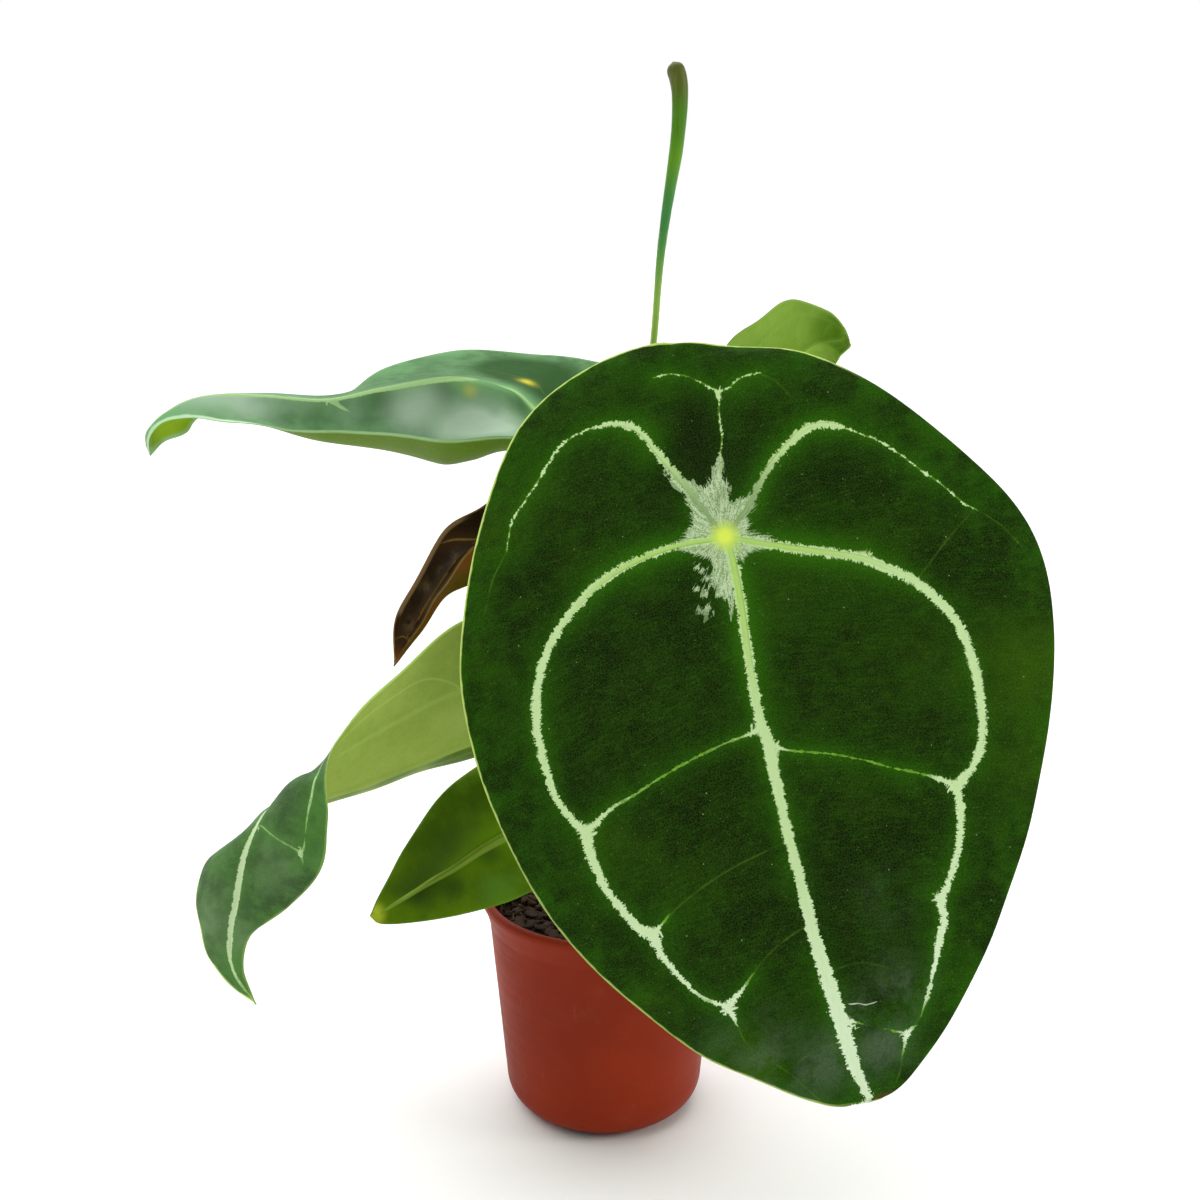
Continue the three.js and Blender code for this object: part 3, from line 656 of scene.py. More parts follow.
FRONT_ASHY = [
    [(725, 536, 3), (705, 512, 3.6), (689, 491, 4.8), (673, 471, 4.6), (656, 451, 4.4), (644, 436, 3.8),
     (632, 427, 4.6), (615, 424, 3.4), (601, 426, 2.4), (583, 432, 1.3), (566, 442, 1.5), (552, 457, 1.9),
     (544, 471, 2.2), (534, 487, 1.1), (524, 502, 1.1), (513, 520, 1.2), (509, 536, 1.0), (507, 551, 0.6)],
    [(725, 536, 3), (742, 516, 4.2), (752, 500, 4.2), (762, 479, 4), (775, 459, 4), (791, 442, 4.6),
     (803, 430, 5.2), (820, 425, 4.6), (838, 426, 3.8), (846, 429, 1.9), (860, 434, 0.9), (881, 442, 1.2),
     (901, 455, 1.5), (922, 471, 1.4), (942, 485, 0.9), (962, 502, 1.2), (975, 509, 0.8)],
    [(721, 470, 2.4), (720, 460, 1.6), (721, 448, 0.8), (722, 438, 0.9), (720, 424, 1.0), (719, 410, 1.2),
     (718, 393, 2.6), (708, 386, 1.3), (698, 381, 0.6)],
    [(718, 393, 2.2), (730, 387, 1.2), (742, 377, 0.9), (758, 373, 0.6)],
    [(686, 376, 0.8), (669, 374, 1), (654, 378, 0.6)],
]
FRONT_FAINT = [
    [(662, 924), (677, 908), (701, 888), (734, 867), (779, 845), (792, 840)],
    [(752, 975), (766, 957), (783, 941), (806, 926)],
    [(736, 1022), (750, 1047), (787, 1071), (820, 1100)],
    [(887, 1029), (873, 1026), (860, 1023)],
    [(836, 969), (858, 962), (880, 965), (897, 971)],
    [(507, 551), (500, 566), (493, 581), (485, 614)],
    [(975, 509), (999, 524), (1020, 545)],
    [(975, 509), (950, 536), (922, 573)],
    [(720, 454), (722, 440)],
    [(698, 381), (686, 376)],
    [(758, 373), (775, 381), (790, 396)],
    [(797, 1063), (812, 1052), (834, 1044)],
    [(920, 1016), (913, 1027)],
    [(902, 1056), (901, 1068), (896, 1082)],
]
FRONT_HALO = [
    (664, 470), (683, 479), (691, 481), (701, 488), (711, 481), (713, 466), (719, 455), (723, 458),
    (724, 478), (729, 486), (728, 498), (732, 503), (740, 499), (752, 494), (755, 505), (746, 516),
    (751, 524), (747, 533), (763, 534), (775, 541), (760, 550), (748, 553), (743, 563), (736, 556),
    (733, 570), (735, 600), (731, 619), (727, 600), (716, 596), (718, 586), (711, 579), (713, 569),
    (709, 559), (694, 554), (683, 551), (672, 546), (684, 540), (684, 534), (693, 521), (691, 513),
    (686, 498), (672, 484),
]
# Pixel and radius
FRONT_PATCHES = [
    (698, 567, 3.2), (703, 571, 3), (707, 578, 3.8), (711, 585, 3), (697, 590, 3.2), (705, 594, 3),
    (702, 612, 5), (708, 611, 5), (706, 619, 3.4),
]
# Lighter and darker areas, and patches of painted sheen: pixel, radius in pixels, strength
FRONT_AREAS = {
    "lift": [
        (779, 590, 48, 0.3), (912, 660, 60, 0.25), (881, 527, 60, 0.2), (1028, 660, 55, 0.8),
        (1022, 771, 45, 0.5), (487, 527, 40, 0.5), (558, 487, 40, 0.3), (487, 668, 30, 0.35),
        (574, 566, 30, 0.3), (621, 850, 40, 0.4), (700, 881, 50, 0.3), (850, 802, 40, 0.35),
        (755, 1066, 30, 1.0), (700, 361, 60, 0.2), (710, 460, 40, -1.0), (700, 410, 36, -0.7),
        (676, 472, 30, -0.6), (794, 487, 35, -0.5), (613, 660, 60, -0.5), (700, 786, 50, -0.4),
        (834, 881, 50, -0.5), (810, 928, 40, -0.4), (912, 960, 40, -0.3), (715, 960, 40, -0.3),
        (660, 500, 40, -0.3), (655, 998, 34, 0.35),
    ],
    # painted sheen: pale grey patches for the soft reflection on the curved tip
    "painted_sheen": [
        (723, 1046, 26, 0.4), (765, 1066, 20, 1.0), (833, 1060, 28, 1.0), (900, 990, 28, 0.9),
        (884, 1046, 24, 1.2), (858, 1008, 16, 0.5), (775, 1028, 20, 0.5), (885, 900, 26, 0.25),
        (800, 1080, 24, 0.5),
    ],
    "scorch": [(884, 1100, 9, 1.0)],
}
# A thin painted highlight: the glint on a small crease near the tip, as pixels of the picture
FRONT_GLINT = [(850, 1004), (858, 1003), (866, 1004.5), (875, 1002)]


def usual_veins(seat, end, broad, fine):
    """The species' veins on a blade, as (place along, place across, half width in mm)."""
    tip = lambda f: seat + f * (end - seat)
    base = lambda g: seat * (1 - g)
    lines = [[(tip(f), 0, broad * (1 - 0.55 * f)) for f in (0, 0.1, 0.2, 0.35, 0.5, 0.65, 0.8, 0.92, 1)]]
    for s in (-1, 1):
        arc = [(0, 0), (0.01, 0.14), (0.03, 0.3), (0.08, 0.48), (0.16, 0.59), (0.28, 0.64), (0.42, 0.65),
               (0.56, 0.63), (0.68, 0.6), (0.8, 0.52), (0.9, 0.4)]
        lines.append([(tip(f), s * v, broad * 0.75 * (1 - 0.8 * f)) for f, v in arc])
        back = [(0, 0), (0.22, 0.12), (0.45, 0.25), (0.62, 0.38), (0.68, 0.52), (0.58, 0.66),
                (0.38, 0.75), (0.15, 0.8)]
        lines.append([(base(g), s * v, broad * 0.7 * (1 - 0.1 * k)) for k, (g, v) in enumerate(back)])
        for f in (0.3, 0.5, 0.68):
            cross = [(f, 0), (f + 0.03, 0.22), (f + 0.08, 0.45), (f + 0.12, 0.61)]
            lines.append([(tip(g), s * v, fine) for g, v in cross])
    lines.append([(base(g), 0, broad * (0.6 - 0.5 * g)) for g in (0, 0.3, 0.6, 0.85)])
    return lines


def vein_fields(grid, centre, lines, halves, ashy, faint):
    """Distances in mm on a blade: to the edge of the nearest vein, from its middle, from the midrib,
    to a faint vein, from the petiole's place, and the place along and across the nearest vein."""
    points, ups = grid.reshape(-1, 3), upward(grid).reshape(-1, 3)
    everyone = np.arange(len(points))
    found = np.array([band(points, ups, line, half) for line, half in zip(lines, halves)])
    nearest = found[:, 0].argmin(0)
    _, along, side, half = found[nearest, :, everyone].T
    faint = faint or [np.array([[0, 0, 9e3], [0, 1, 9e3]])]
    thin = np.array([band(points, ups, line, [0.25] * len(line)) for line in faint])
    thinnest = thin[thin[:, 0].argmin(0), :, everyone].T
    return {
        "vein": joined(found[:, 0], 0.5),
        "side": side,
        "half": half,
        "ashy": np.array(ashy)[nearest],
        "rib": found[0, 2],
        "faint": thinnest[0],
        "faint_side": thinnest[2],
        "far": np.linalg.norm(points - centre, axis=1),
        "lane": np.stack([along + 37.0 * nearest, side, 0 * side], 1),
    }


def sum_of_areas(places, areas):
    """Strength of soft round areas, each given by its place, radius and strength."""
    total = np.zeros(len(places))
    for *at, radius, strength in areas:
        total += strength * np.exp(-((np.linalg.norm(places - np.array(at, float), axis=1) / radius) ** 2))
    return total


def edge_field(grid):
    """Distance of each point from the blade's outline."""
    outline = refined(np.concatenate([grid[:, 0], grid[::-1, -1]]), 5)
    tree = KDTree(len(outline))
    for i, point in enumerate(outline):
        tree.insert(point, i)
    tree.balance()
    return np.array([tree.find(point)[2] for point in grid.reshape(-1, 3)])


def front_fields(grid):
    seen, scale = in_picture(grid.reshape(-1, 3))
    lines, halves = [], []
    for vein in FRONT_VEINS + FRONT_ASHY:
        pixels = refined(vein, 3)
        lines.append(on_blade(grid, pixels[:, :2]))
        halves.append(pixels[:, 2] * in_picture(lines[-1])[1])
    ashy = [0.0] * len(FRONT_VEINS) + [1.0] * len(FRONT_ASHY)
    faint = [on_blade(grid, refined(line, 4)) for line in FRONT_FAINT]
    fields = vein_fields(grid, lines[0][0], lines, halves, ashy, faint)
    halo = inside_distance(seen, FRONT_HALO)
    for *at, radius in FRONT_PATCHES:
        halo = np.minimum(halo, np.linalg.norm(seen - at, axis=1) - radius)
    x, y = (seen - PETIOLE_PIXEL).T
    angle = np.arctan2(y, x)
    spoke = np.stack([np.cos(angle) * 9, np.sin(angle) * 9, np.hypot(x, y) * scale * 0.22], 1)
    ups = upward(grid).reshape(-1, 3)
    painted_glint = band(grid.reshape(-1, 3), ups, on_blade(grid, FRONT_GLINT), [0] * len(FRONT_GLINT))
    lit_rim = (1 - step(seen[:, 0], 815, 870)) * (1 - 0.35 * step(seen[:, 1], 740, 900))
    fields |= {"halo": halo * scale, "spoke": spoke, "painted_glint": painted_glint[0], "painted_glint_side": painted_glint[2], "lit_rim": lit_rim}
    return fields | {key: sum_of_areas(seen, areas) for key, areas in FRONT_AREAS.items()}


def placed_fields(grid, centre, stations, lines, faint=(), **areas):
    """Veins and areas given by place along a blade, place across it, and a size or radius in mm."""

    def at(place, across, *_):
        return sheet_points(stations, np.array([float(place)]), np.array([[float(across)]]))[0, 0]

    halves = [refined(line, 4)[:, 2] for line in lines]
    lines, faint = ([np.array([at(*p) for p in refined(line, 4)]) for line in some] for some in (lines, faint))
    fields = vein_fields(grid, centre, lines, halves, [0.0] * len(lines), faint)
    points = grid.reshape(-1, 3)
    fields |= {"halo": fields["far"] - 6.0, "spoke": unit(points - centre) * 9}
    for key in ("lift", "painted_sheen", "blot"):
        fields[key] = sum_of_areas(points, [(*at(*a), *a[2:]) for a in areas.get(key, ())])
    return fields


def blade(name, seat, spacing, quilt, ribs, materials, slot, marks=None, lit=(0.25, 0.9)):
    """A leaf blade as a thin closed sheet: sunken veins and swollen fields above, raised ribs below."""
    stations = STATIONS[name]
    places = rows_of(stations, spacing)
    across = columns_of(stations, places, spacing)
    grid = sheet_points(stations, places, across)
    up = upward(grid)
    centre = seat_of(name, seat)[0]
    fields = placed_fields(grid, centre, stations, **marks) if marks else front_fields(grid)
    fields["edge"] = edge_field(grid)
    vein, margin, rib_off = (fields[key].reshape(across.shape) for key in ("vein", "edge", "rib"))
    swell = quilt * (1 - np.exp(-np.maximum(vein, 0) / 14)) * (1 - np.exp(-margin / 12))
    wave = 0.35 * np.sin(places * 5.1 + 1)[:, None] * np.exp(-margin / 14) * np.sign(across)
    grid = grid + up * (swell + wave)[..., None]
    up = upward(grid)
    fields.setdefault("lit_rim", lit[0] + (lit[1] - lit[0]) * step(across.ravel(), -0.2, 0.2))
    rib = grid[:, np.abs(across[0]).argmin()]
    reach = np.linalg.norm(grid - rib[:, None], axis=-1) * np.sign(across)
    run = run_of(rib)[:, None] - 0.12 * np.abs(reach)
    fields["weave"] = np.stack([run, reach, 0 * run], -1).reshape(-1, 3)
    ridge = np.maximum(ribs[0] * np.exp(-((rib_off / 1.6) ** 2)), ribs[1] * step(1.2 - vein, 0, 2.0))
    top = grid + up * (SHEET / 2 - 0.18 * step(0.6 - vein, 0, 1.2))[..., None]
    under = grid - up * (SHEET / 2 + ridge * step(margin, 0, 4))[..., None]
    for side, way in ((top, 1), (under, -1)):
        side[:, [0, -1]] = (grid + up * (way * RIM / 2))[:, [0, -1]]
    index = np.arange(across.size).reshape(across.shape)
    for i in (0, -1):
        index[i] = index[i, across.shape[1] // 2]
    faces, kinds = shell_faces(index, index + across.size)
    used = sorted({corner for face in faces for corner in face})
    number = {old: new for new, old in enumerate(used)}
    faces = [[number[corner] for corner in face] for face in faces]
    vertices = np.concatenate([top.reshape(-1, 3), under.reshape(-1, 3)])[used]
    fields = {key: np.concatenate([values, values])[used] for key, values in fields.items()}
    keep(made_object("leaf_" + name, vertices, faces, materials, kinds, True, fields), slot, "blade_" + name)


# --- blade materials ---


def mottled(s, dark, light, glow, reach=0.28, rim=0.09, grain=0.3, folds=1.0):
    """Ground of an upper face: soft blotches and fine grain, brighter near veins and the margin."""
    vein, big = s.field("vein"), s.noise(28, 4, 0.6)
    wrinkles = s.streaks((0.9, 0.11, 1), 3, 0.6, 0.5, s.field("weave", "Vector"))
    return s.over(
        dark,
        (s.span(big * 0.5 + s.noise(120, 3, 0.6) * 0.5, 0.4, 0.6), light),
        (s.span(s.noise(420, 4, 0.65), 0.38, 0.72) * grain, dark),
        (s.span(wrinkles, 0.52, 0.66) * (0.45 * folds), dark),
        (s.span(wrinkles, 0.48, 0.34) * (0.22 * folds), glow),
        (s.fade(vein, reach) * s.span(big, 0.3, 0.6, 0.3, 0.85), glow),
        (s.fade(vein, 0.22) * s.span(s.field("far"), 90, 30, 0.05, 0.95), s.mix(0.5, glow, light, "ADD")),
        # Painted light: the margin is brighter green, as if lit through from behind
        (s.fade(s.field("edge"), rim) * s.span(s.noise(60, 3), 0.4, 0.62, 0.1, 0.7), glow),
    )


def front_ground(s):
    lift = s.field("lift") + (s.noise(70, 3) - 0.5) * 0.5
    # Painted sheen: pale grey patches where the curved tip reflects the light
    painted_sheen_mask = s.field("painted_sheen") * s.span(s.noise(75, 4, 0.7), 0.34, 0.62)
    painted_sheen_mask = painted_sheen_mask * s.span(s.noise(700, 3, 0.7), 0.3, 0.6, 0.6, 1.0)
    # Painted glint: a thin pale highlight line on a small crease near the tip
    painted_glint = s.span(abs(s.field("painted_glint_side")) + s.noise(300, 2) * 0.4, 0.5, 0.28)
    return s.over(
        mottled(s, (11, 31, 2), (24, 53, 3), (35, 88, 2), grain=0.18),
        (s.span(lift, 0.0, 1.0) * 0.7, (50, 86, 4)),
        (s.span(lift, -0.05, -1.0) * 0.8, (6, 15, 3)),
        (s.least(painted_sheen_mask) * 0.75, (78, 98, 72)),
        (painted_glint * s.span(s.field("painted_glint"), 1.2, 0.6), (196, 208, 188)),
        (s.least(s.field("scorch") * s.span(s.field("edge"), 3.0, 0.4)), (88, 54, 26)),
    )


def grey_ground(s):
    lift = s.field("lift")
    # Painted sheen: the whitish-lilac sheen of the near half, put into the base colour
    painted_sheen_mask = s.field("painted_sheen") * s.span(s.noise(34, 2, 0.5), 0.3, 0.6, 0.4, 1.0)
    return s.over(
        mottled(s, (72, 110, 70), (90, 131, 86), (104, 152, 94), 0.2, 0.11, 0.1, 0.25),
        (s.span(lift, -0.05, -1.0) * 0.92, (30, 72, 20)),
        (s.span(lift, 0.05, 1.0), (112, 168, 112)),
        (s.least(painted_sheen_mask, 0.85), (168, 190, 168)),
        (s.least(s.field("blot")), (206, 196, 58)),
    )


def twisted_ground(s):
    # Painted sheen: large grey patches on the upper face
    painted_sheen_mask = s.field("painted_sheen") * s.span(s.noise(60, 3, 0.6), 0.3, 0.7, 0.3, 0.9)
    base = mottled(s, (44, 72, 34), (70, 104, 56), (74, 128, 48), 0.3, 0.08)
    return s.mix(s.least(painted_sheen_mask, 0.7), base, (108, 138, 92))


def young_ground(s):
    lift = s.field("lift")
    return s.over(
        mottled(s, (66, 96, 5), (84, 118, 12), (92, 126, 2), 0.12, 0.07),
        (s.span(lift, -0.05, -1.0) * 0.9, (46, 72, 12)),
        (s.span(lift, 0.05, 1.0), (90, 138, 46)),
        # Painted sheen: a pale yellow-green patch at the tip
        (s.span(s.field("painted_sheen"), 0.2, 0.9), (178, 192, 46)),
    )


def bronze_ground(s):
    # Painted sheen: shiny grey patches on the dark blade
    painted_sheen_mask = s.field("painted_sheen") * s.span(s.noise(160, 4, 0.7), 0.36, 0.62)
    rolled = s.span(s.field("edge"), 3.0, 1.5) * s.span(s.field("lift"), 0.1, 0.6)
    # Painted light: the half below the midrib is olive-brown as the half that catches the light, while the upper
    # half stays black-brown
    lit_lower_half = s.mix(s.span(s.noise(60, 4), 0.35, 0.65), (84, 68, 6), (112, 70, 16))
    base = mottled(s, (18, 9, 2), (36, 22, 7), (52, 34, 10), 0.4, 0.2)
    return s.over(
        s.mix(s.span(s.field("rib"), 0.3, -0.3), base, lit_lower_half),
        (s.least(painted_sheen_mask, 0.6), (88, 72, 44)),
        (rolled, (136, 108, 72)),
        (s.field("blot"), (110, 58, 12)),
    )


def light_ground(s):
    return mottled(s, (40, 70, 20), (56, 92, 26), (70, 116, 24))


def blade_top(name, ground, core, pale, spot, rough=0.5, ragged=1.0, shine=0.1, coat=0.0, rim=(186, 212, 112),
              thread=(116, 168, 48), tip_pale=None, rim_reach=1.0, creased=0.6):
    """Velvet upper face: its ground, faint veins, and pale veins with torn edges."""
    s = Shader(name)
    vein, far, edge, half = s.field("vein"), s.field("far"), s.field("edge"), s.field("half")
    side, ashy = s.field("side"), s.field("ashy")
    lane, spoke = s.field("lane", "Vector"), s.field("spoke", "Vector")
    fine, torn = s.noise(420, 4, 0.65), s.noise(1300, 3, 0.7)
    base = ground(s)
    glow = s.mix(0.5, base, core)
    base = s.over(
        base,
        (s.span(s.cells(900, "DISTANCE_TO_EDGE"), 0.22, 0.0) * 0.07, glow),
        (s.span(s.cells(210), 0.07, 0.03) * s.span(s.noise(150, 1), 0.56, 0.6) * 0.5, pale),
        (s.span(s.cells(520), 0.16, 0.06) * s.span(s.noise(45, 2), 0.46, 0.6, 0.0, 0.3), glow),
    )
    faint = s.span(abs(s.field("faint_side")) - fine * 0.9, 0.2, -0.4) * s.span(s.field("faint"), 2.0, 1.2)
    faint = faint * s.span(s.noise(110, 2), 0.36, 0.6, 0.06, 0.26)
    base = s.mix(faint, base, s.mix(0.35, thread, base))

    exact = abs(side) - half + s.span(vein, 1.2, 2.0, 0.0, 9.0)
    torn_edge = s.least(vein, exact) + s.span(half, 0.3, 1.5, 0.05, 0.25)
    coarse = s.span(half, 0.3, 1.5, 0.65, 1.0)
    small = s.math("MAXIMUM", s.span(half, 0.4, 1.6, 0.2, 1.0), ashy * 0.55)
    lobes = s.streaks((0.55, 0.3, 1), 2, 0.6, 0.3, lane)
    for value, size, share in (
        (s.streaks((0.16, 0.1, 1), 1, 0.5, 0.0, lane), 1.6, coarse),
        (lobes, 2.8, coarse),
        (s.streaks((1.7, 0.5, 1), 2, 0.6, 0.6, lane), 3.2, small),
        (torn, 2.4, small),
    ):
        torn_edge = torn_edge + (value - 0.5) * (size * ragged) * share
    gaps = s.span(s.streaks((0.24, 0.26, 1), 2, 0.6, 0.0, lane), 0.47, 0.57)
    gaps = gaps * ashy * s.span(half, 1.1, 0.6, 0.0, 1.5)
    band_on = s.span(torn_edge + gaps, 0.12, -0.16)

    near = s.span(far, 105, 25)
    core_edge = abs(side) - half * s.span(near, 0.0, 1.0, 0.14, 0.5)
    core_on = s.span(core_edge + (fine - 0.5) * 1.6, 0.4, -0.35) * (1.0 - ashy * 0.75)
    grain = s.span(s.streaks((0.25, 3.0, 1), 3, 0.6, 0.0, lane), 0.35, 0.7)
    if tip_pale:
        pale = s.mix(s.span(far, 120, 215), pale, tip_pale)
    thready = s.over(
        thread,
        (s.span(fine, 0.4, 0.6, 0.0, 0.45), base),
        (s.span(lobes, 0.42, 0.6) * s.span(half, 0.45, 0.62, 0.1, 0.8), pale),
    )
    crease = s.span(abs(side + half * 0.5), 0.34, 0.06) * near * s.span(half, 0.9, 1.6)
    vein_colour = s.over(
        pale,
        (grain * 0.25, core),
        (near * 0.22, core),
        (core_on * s.span(far, 85, 20, 0.05, 0.9), core),
        (ashy * s.span(far, 44, 14), s.mix(grain, (128, 158, 104), (160, 186, 132))),
        (s.span(half, 0.95, 0.5) * (1.0 - ashy), thready),
        (crease * creased, glow),
    )

    hairs = s.streaks((2.6, 2.6, 0.8), 3, 0.65, 0.3, spoke)
    halo_edge = s.field("halo")
    fibres = s.noise(1.6, 5, 0.7, 0.6, spoke)
    for value, size, least in ((hairs, 9.0, 3.0), (fibres, 2.5, 2.5), (torn, 2.2, 2.2)):
        halo_edge = halo_edge + (value - 0.5) * s.span(far, 30, 42, size, least)
    specks = s.noise(1500, 3, 0.7) * 0.5 + hairs * 0.5
    silver = s.over(
        (132, 160, 106),
        (s.span(specks, 0.42, 0.56), (200, 222, 176)),
        (s.span(vein, 7, 11) * s.span(far, 28, 36) * 0.9, (92, 122, 70)),
    )
    below = s.span(abs(side), 0.5, 0.15) * s.span(half, 1.3, 0.8) * s.span(vein, 0.9, 0.4) * ashy
    centre = far + (fine - 0.5) * 1.5
    line = s.span(edge + s.noise(160, 3) * 1.3, 1.8 * rim_reach, 1.1 * rim_reach)
    colour = s.over(
        base,
        (below * 0.45, thread),
        (s.span(halo_edge, 0.25, -0.3) * 0.92, silver),
        (band_on, vein_colour),
        (s.span(centre, 8.0, 3.0) * 0.9, s.mix(0.5, core, spot)),
        (s.span(centre, 4.6, 1.4), spot),
        (line * s.field("lit_rim"), rim),
    )
    finish = {"Sheen_Weight": 0.012, "Sheen_Roughness": 0.45, "Sheen_Tint": (0.7, 1, 0.6, 1)}
    if coat:
        # The coat is heavier on the patches of painted sheen
        finish |= {"Coat_Weight": s.least(s.field("painted_sheen") + 0.25) * coat, "Coat_Roughness": 0.4}
    cord = s.span(core_edge, 0.5, -1.0) * s.span(half, 0.3, 1.5) * s.span(far, 2, 9) * s.span(vein, 1.5, 0.5)
    return s.done(
        colour,
        s.noise(90, 3) * 0.16 + s.span(band_on, 0, 1, rough, rough - 0.02),
        shine,
        (cord * near, 0.0005, 0.8),
        (crease * s.span(vein, 0.2, -0.2), 0.0003, -0.6),
        (s.noise(260, 3), 0.0005, 0.3),
        **finish,
    )


def blade_under(name, body, darker, rib, mottle=0.5, rim_width=0.6, rim=None, bright=None, deep=None, ribs=0.5):
    """Matt lower face: pale green, mottled, with lighter ribs and a net of fine veins."""
    s = Shader(name)
    lift, net = s.field("lift"), s.span(s.cells(330, "DISTANCE_TO_EDGE"), 0.1, 0.0)
    layers = [(s.span(s.noise(24, 4, 0.6), 0.35, 0.68) * mottle, darker)]
    layers.append((s.span(s.noise(160, 4, 0.6), 0.4, 0.7) * 0.22, darker))
    if bright:
        layers.append((s.span(lift, 0.05, 0.9), bright))
    if deep:
        layers.append((s.span(lift, -0.05, -0.9) * 0.9, deep))
    faint = s.span(abs(s.field("faint_side")), 0.9, 0.1) * s.span(s.field("faint"), 2.4, 1.4)
    wavy = s.field("edge") + (s.noise(60, 3) - 0.5) * rim_width
    layers += [(net * 0.07, rib), (s.span(s.field("vein"), 0.9, -0.4) * ribs, rib), (faint * 0.25, rib)]
    layers.append((s.span(wavy, rim_width * 2, rim_width * 0.6) * 0.85, rim or rib))
    rough = s.noise(70, 3) * 0.15 + 0.49
    return s.done(s.over(body, *layers), rough, 0.08, (net, 0.00012, 0.35), (s.noise(240, 3), 0.0004, 0.3))


def blade_rim(name, colour, second):
    """Thin gristly margin."""
    s = Shader(name)
    colour = s.mix(s.span(s.noise(90, 3), 0.4, 0.65), colour, second)
    return s.done(colour, s.span(s.noise(200, 2), 0.3, 0.7, 0.4, 0.55), 0.45)


# --- blades ---

blade("front", 4, 1.8, 1.0, (1.1, 0.6), [
    blade_top("velvet_front", front_ground, (172, 213, 104), (198, 226, 166), (224, 242, 92), shine=0.02,
              tip_pale=(222, 242, 206)),
    blade_under("front_under", (104, 134, 62), (84, 114, 46), (150, 178, 98)),
    blade_rim("front_rim", (178, 200, 110), (128, 154, 70)),
], "blade_front")

blade("upper_left", 2, 2.0, 0.8, (1.0, 0.5), [
    blade_top("velvet_grey", grey_ground, (150, 188, 120), (164, 200, 138), (156, 190, 100), 0.42, 0.2, 0.02,
              0.03, (190, 226, 180), (130, 176, 106), rim_reach=1.6),
    blade_under("grey_under", (90, 120, 8), (72, 104, 6), (140, 170, 70), 0.5, 1.6, (150, 190, 130),
                (140, 174, 28)),
    blade_rim("grey_rim", (124, 160, 116), (108, 144, 92)),
], "blade_grey", {
    "lines": [
        [(2, 0, 2.4), (2.46, 0.1, 2.8), (2.92, 0.12, 3.2), (3.35, 0.06, 3.5), (3.9, 0.02, 3.5), (4.7, 0, 2.8),
         (5.3, 0, 2), (6.5, 0, 1.3), (8, 0, 1.1), (9.5, 0, 0.8), (10.8, 0, 0.4)],
        [(5.95, 0, 1.4), (5.86, -0.03, 1.4), (5.76, -0.07, 1.1), (5.67, -0.1, 0.7)],
    ],
    "faint": usual_veins(2, 11, 1, 1)[1:-1],
    "lift": [
        (2.7, 0.7, 22, -1.1), (3.3, 0.62, 22, -1.3), (2.2, 0.4, 14, -0.7), (3.0, 1.0, 13, 0.5),
        (4.0, 0.97, 20, 0.6), (4.8, 0.9, 20, 0.35), (4.23, -0.06, 9, -0.7), (5.13, -0.06, 8, -0.6),
        (2.5, -0.04, 9, -0.5), (9.6, 0, 28, 1.0), (7.6, 0.1, 14, 0.5),
    ],
    # Patches of painted sheen on the near half
    "painted_sheen": [
        (3.5, -0.19, 12, 0.9), (2.75, -0.22, 12, 0.9), (4.7, -0.15, 11, 0.8), (4.4, -0.08, 9, 0.4),
        (4.0, -0.26, 10, 0.6), (5.7, -0.1, 8, 0.4), (7.2, -0.1, 14, 0.75), (6.4, -0.02, 8, 0.3),
        (8.1, 0, 12, 0.6),
    ],
    "blot": [(2.86, 0.46, 4.0, 1.0), (3.7, -0.05, 3.2, 0.45)],
}, (0.95, 0.1))

blade("twisted", 2, 1.6, 0.6, (0.9, 0.2), [
    blade_top("velvet_twisted", twisted_ground, (176, 206, 140), (190, 214, 164), (190, 220, 90), 0.45, 0.4,
              0.1, 0.1, thread=(132, 178, 98)),
    blade_under("twisted_under", (146, 168, 74), (118, 146, 50), (176, 204, 110), 0.6, 0.7, (180, 212, 112),
                (158, 178, 96), (74, 106, 20), 0.15),
    blade_rim("twisted_rim", (172, 206, 116), (146, 186, 86)),
], "blade_light", {
    "lines": [
        [(2, 0, 1.6), (3, 0, 1.4), (4.5, 0, 1.2), (6, 0, 1.1), (7.5, -0.04, 1.2), (8.2, -0.03, 1.4),
         (9.1, 0.03, 1.6), (10.3, 0.01, 1.7), (11, 0, 1.5), (11.8, 0.06, 1.0), (12.4, 0.1, 0.6), (12.9, 0, 0.3)],
        [(5.2, -0.87, 0.5), (6.42, -0.82, 0.6), (7.19, -0.8, 0.65), (7.75, -0.76, 0.55), (8.18, -0.76, 0.3)],
        [(8.27, -0.12, 0.45), (8.5, -0.38, 0.35), (8.66, -0.66, 0.4), (8.72, -0.72, 0.8), (8.9, -0.77, 0.3)],
        [(8.45, -0.76, 0.3), (8.62, -0.75, 0.55), (8.74, -0.72, 0.6)],
    ] + [
        near for near in ([p for p in line if p[0] < 6.2] for line in usual_veins(2, 13, 1.6, 0.35)[1:])
        if len(near) > 1
    ],
    "faint": [[(2, 0), (2.5, -0.3), (3.05, -0.52), (3.15, -0.59), (3.59, -0.79), (4.05, -0.85), (5.2, -0.87)]],
    # Painted shade: the darker areas along the lower half, where that half of the underside faces down; the
    # lighter area is on the upper half
    "lift": [
        (2.4, 0.5, 18, -1.0), (3.2, 0.5, 16, -1.0), (4.2, 0.5, 12, -1.0), (5, 0.5, 10, -0.8), (2.8, -0.2, 16, 0.6),
    ],
    # Patches of painted sheen
    "painted_sheen": [(9.3, -0.5, 9, 0.5), (10.4, 0.5, 13, 1.0), (8.7, -0.4, 7, 0.4), (11, -0.4, 7, 0.4)],
})

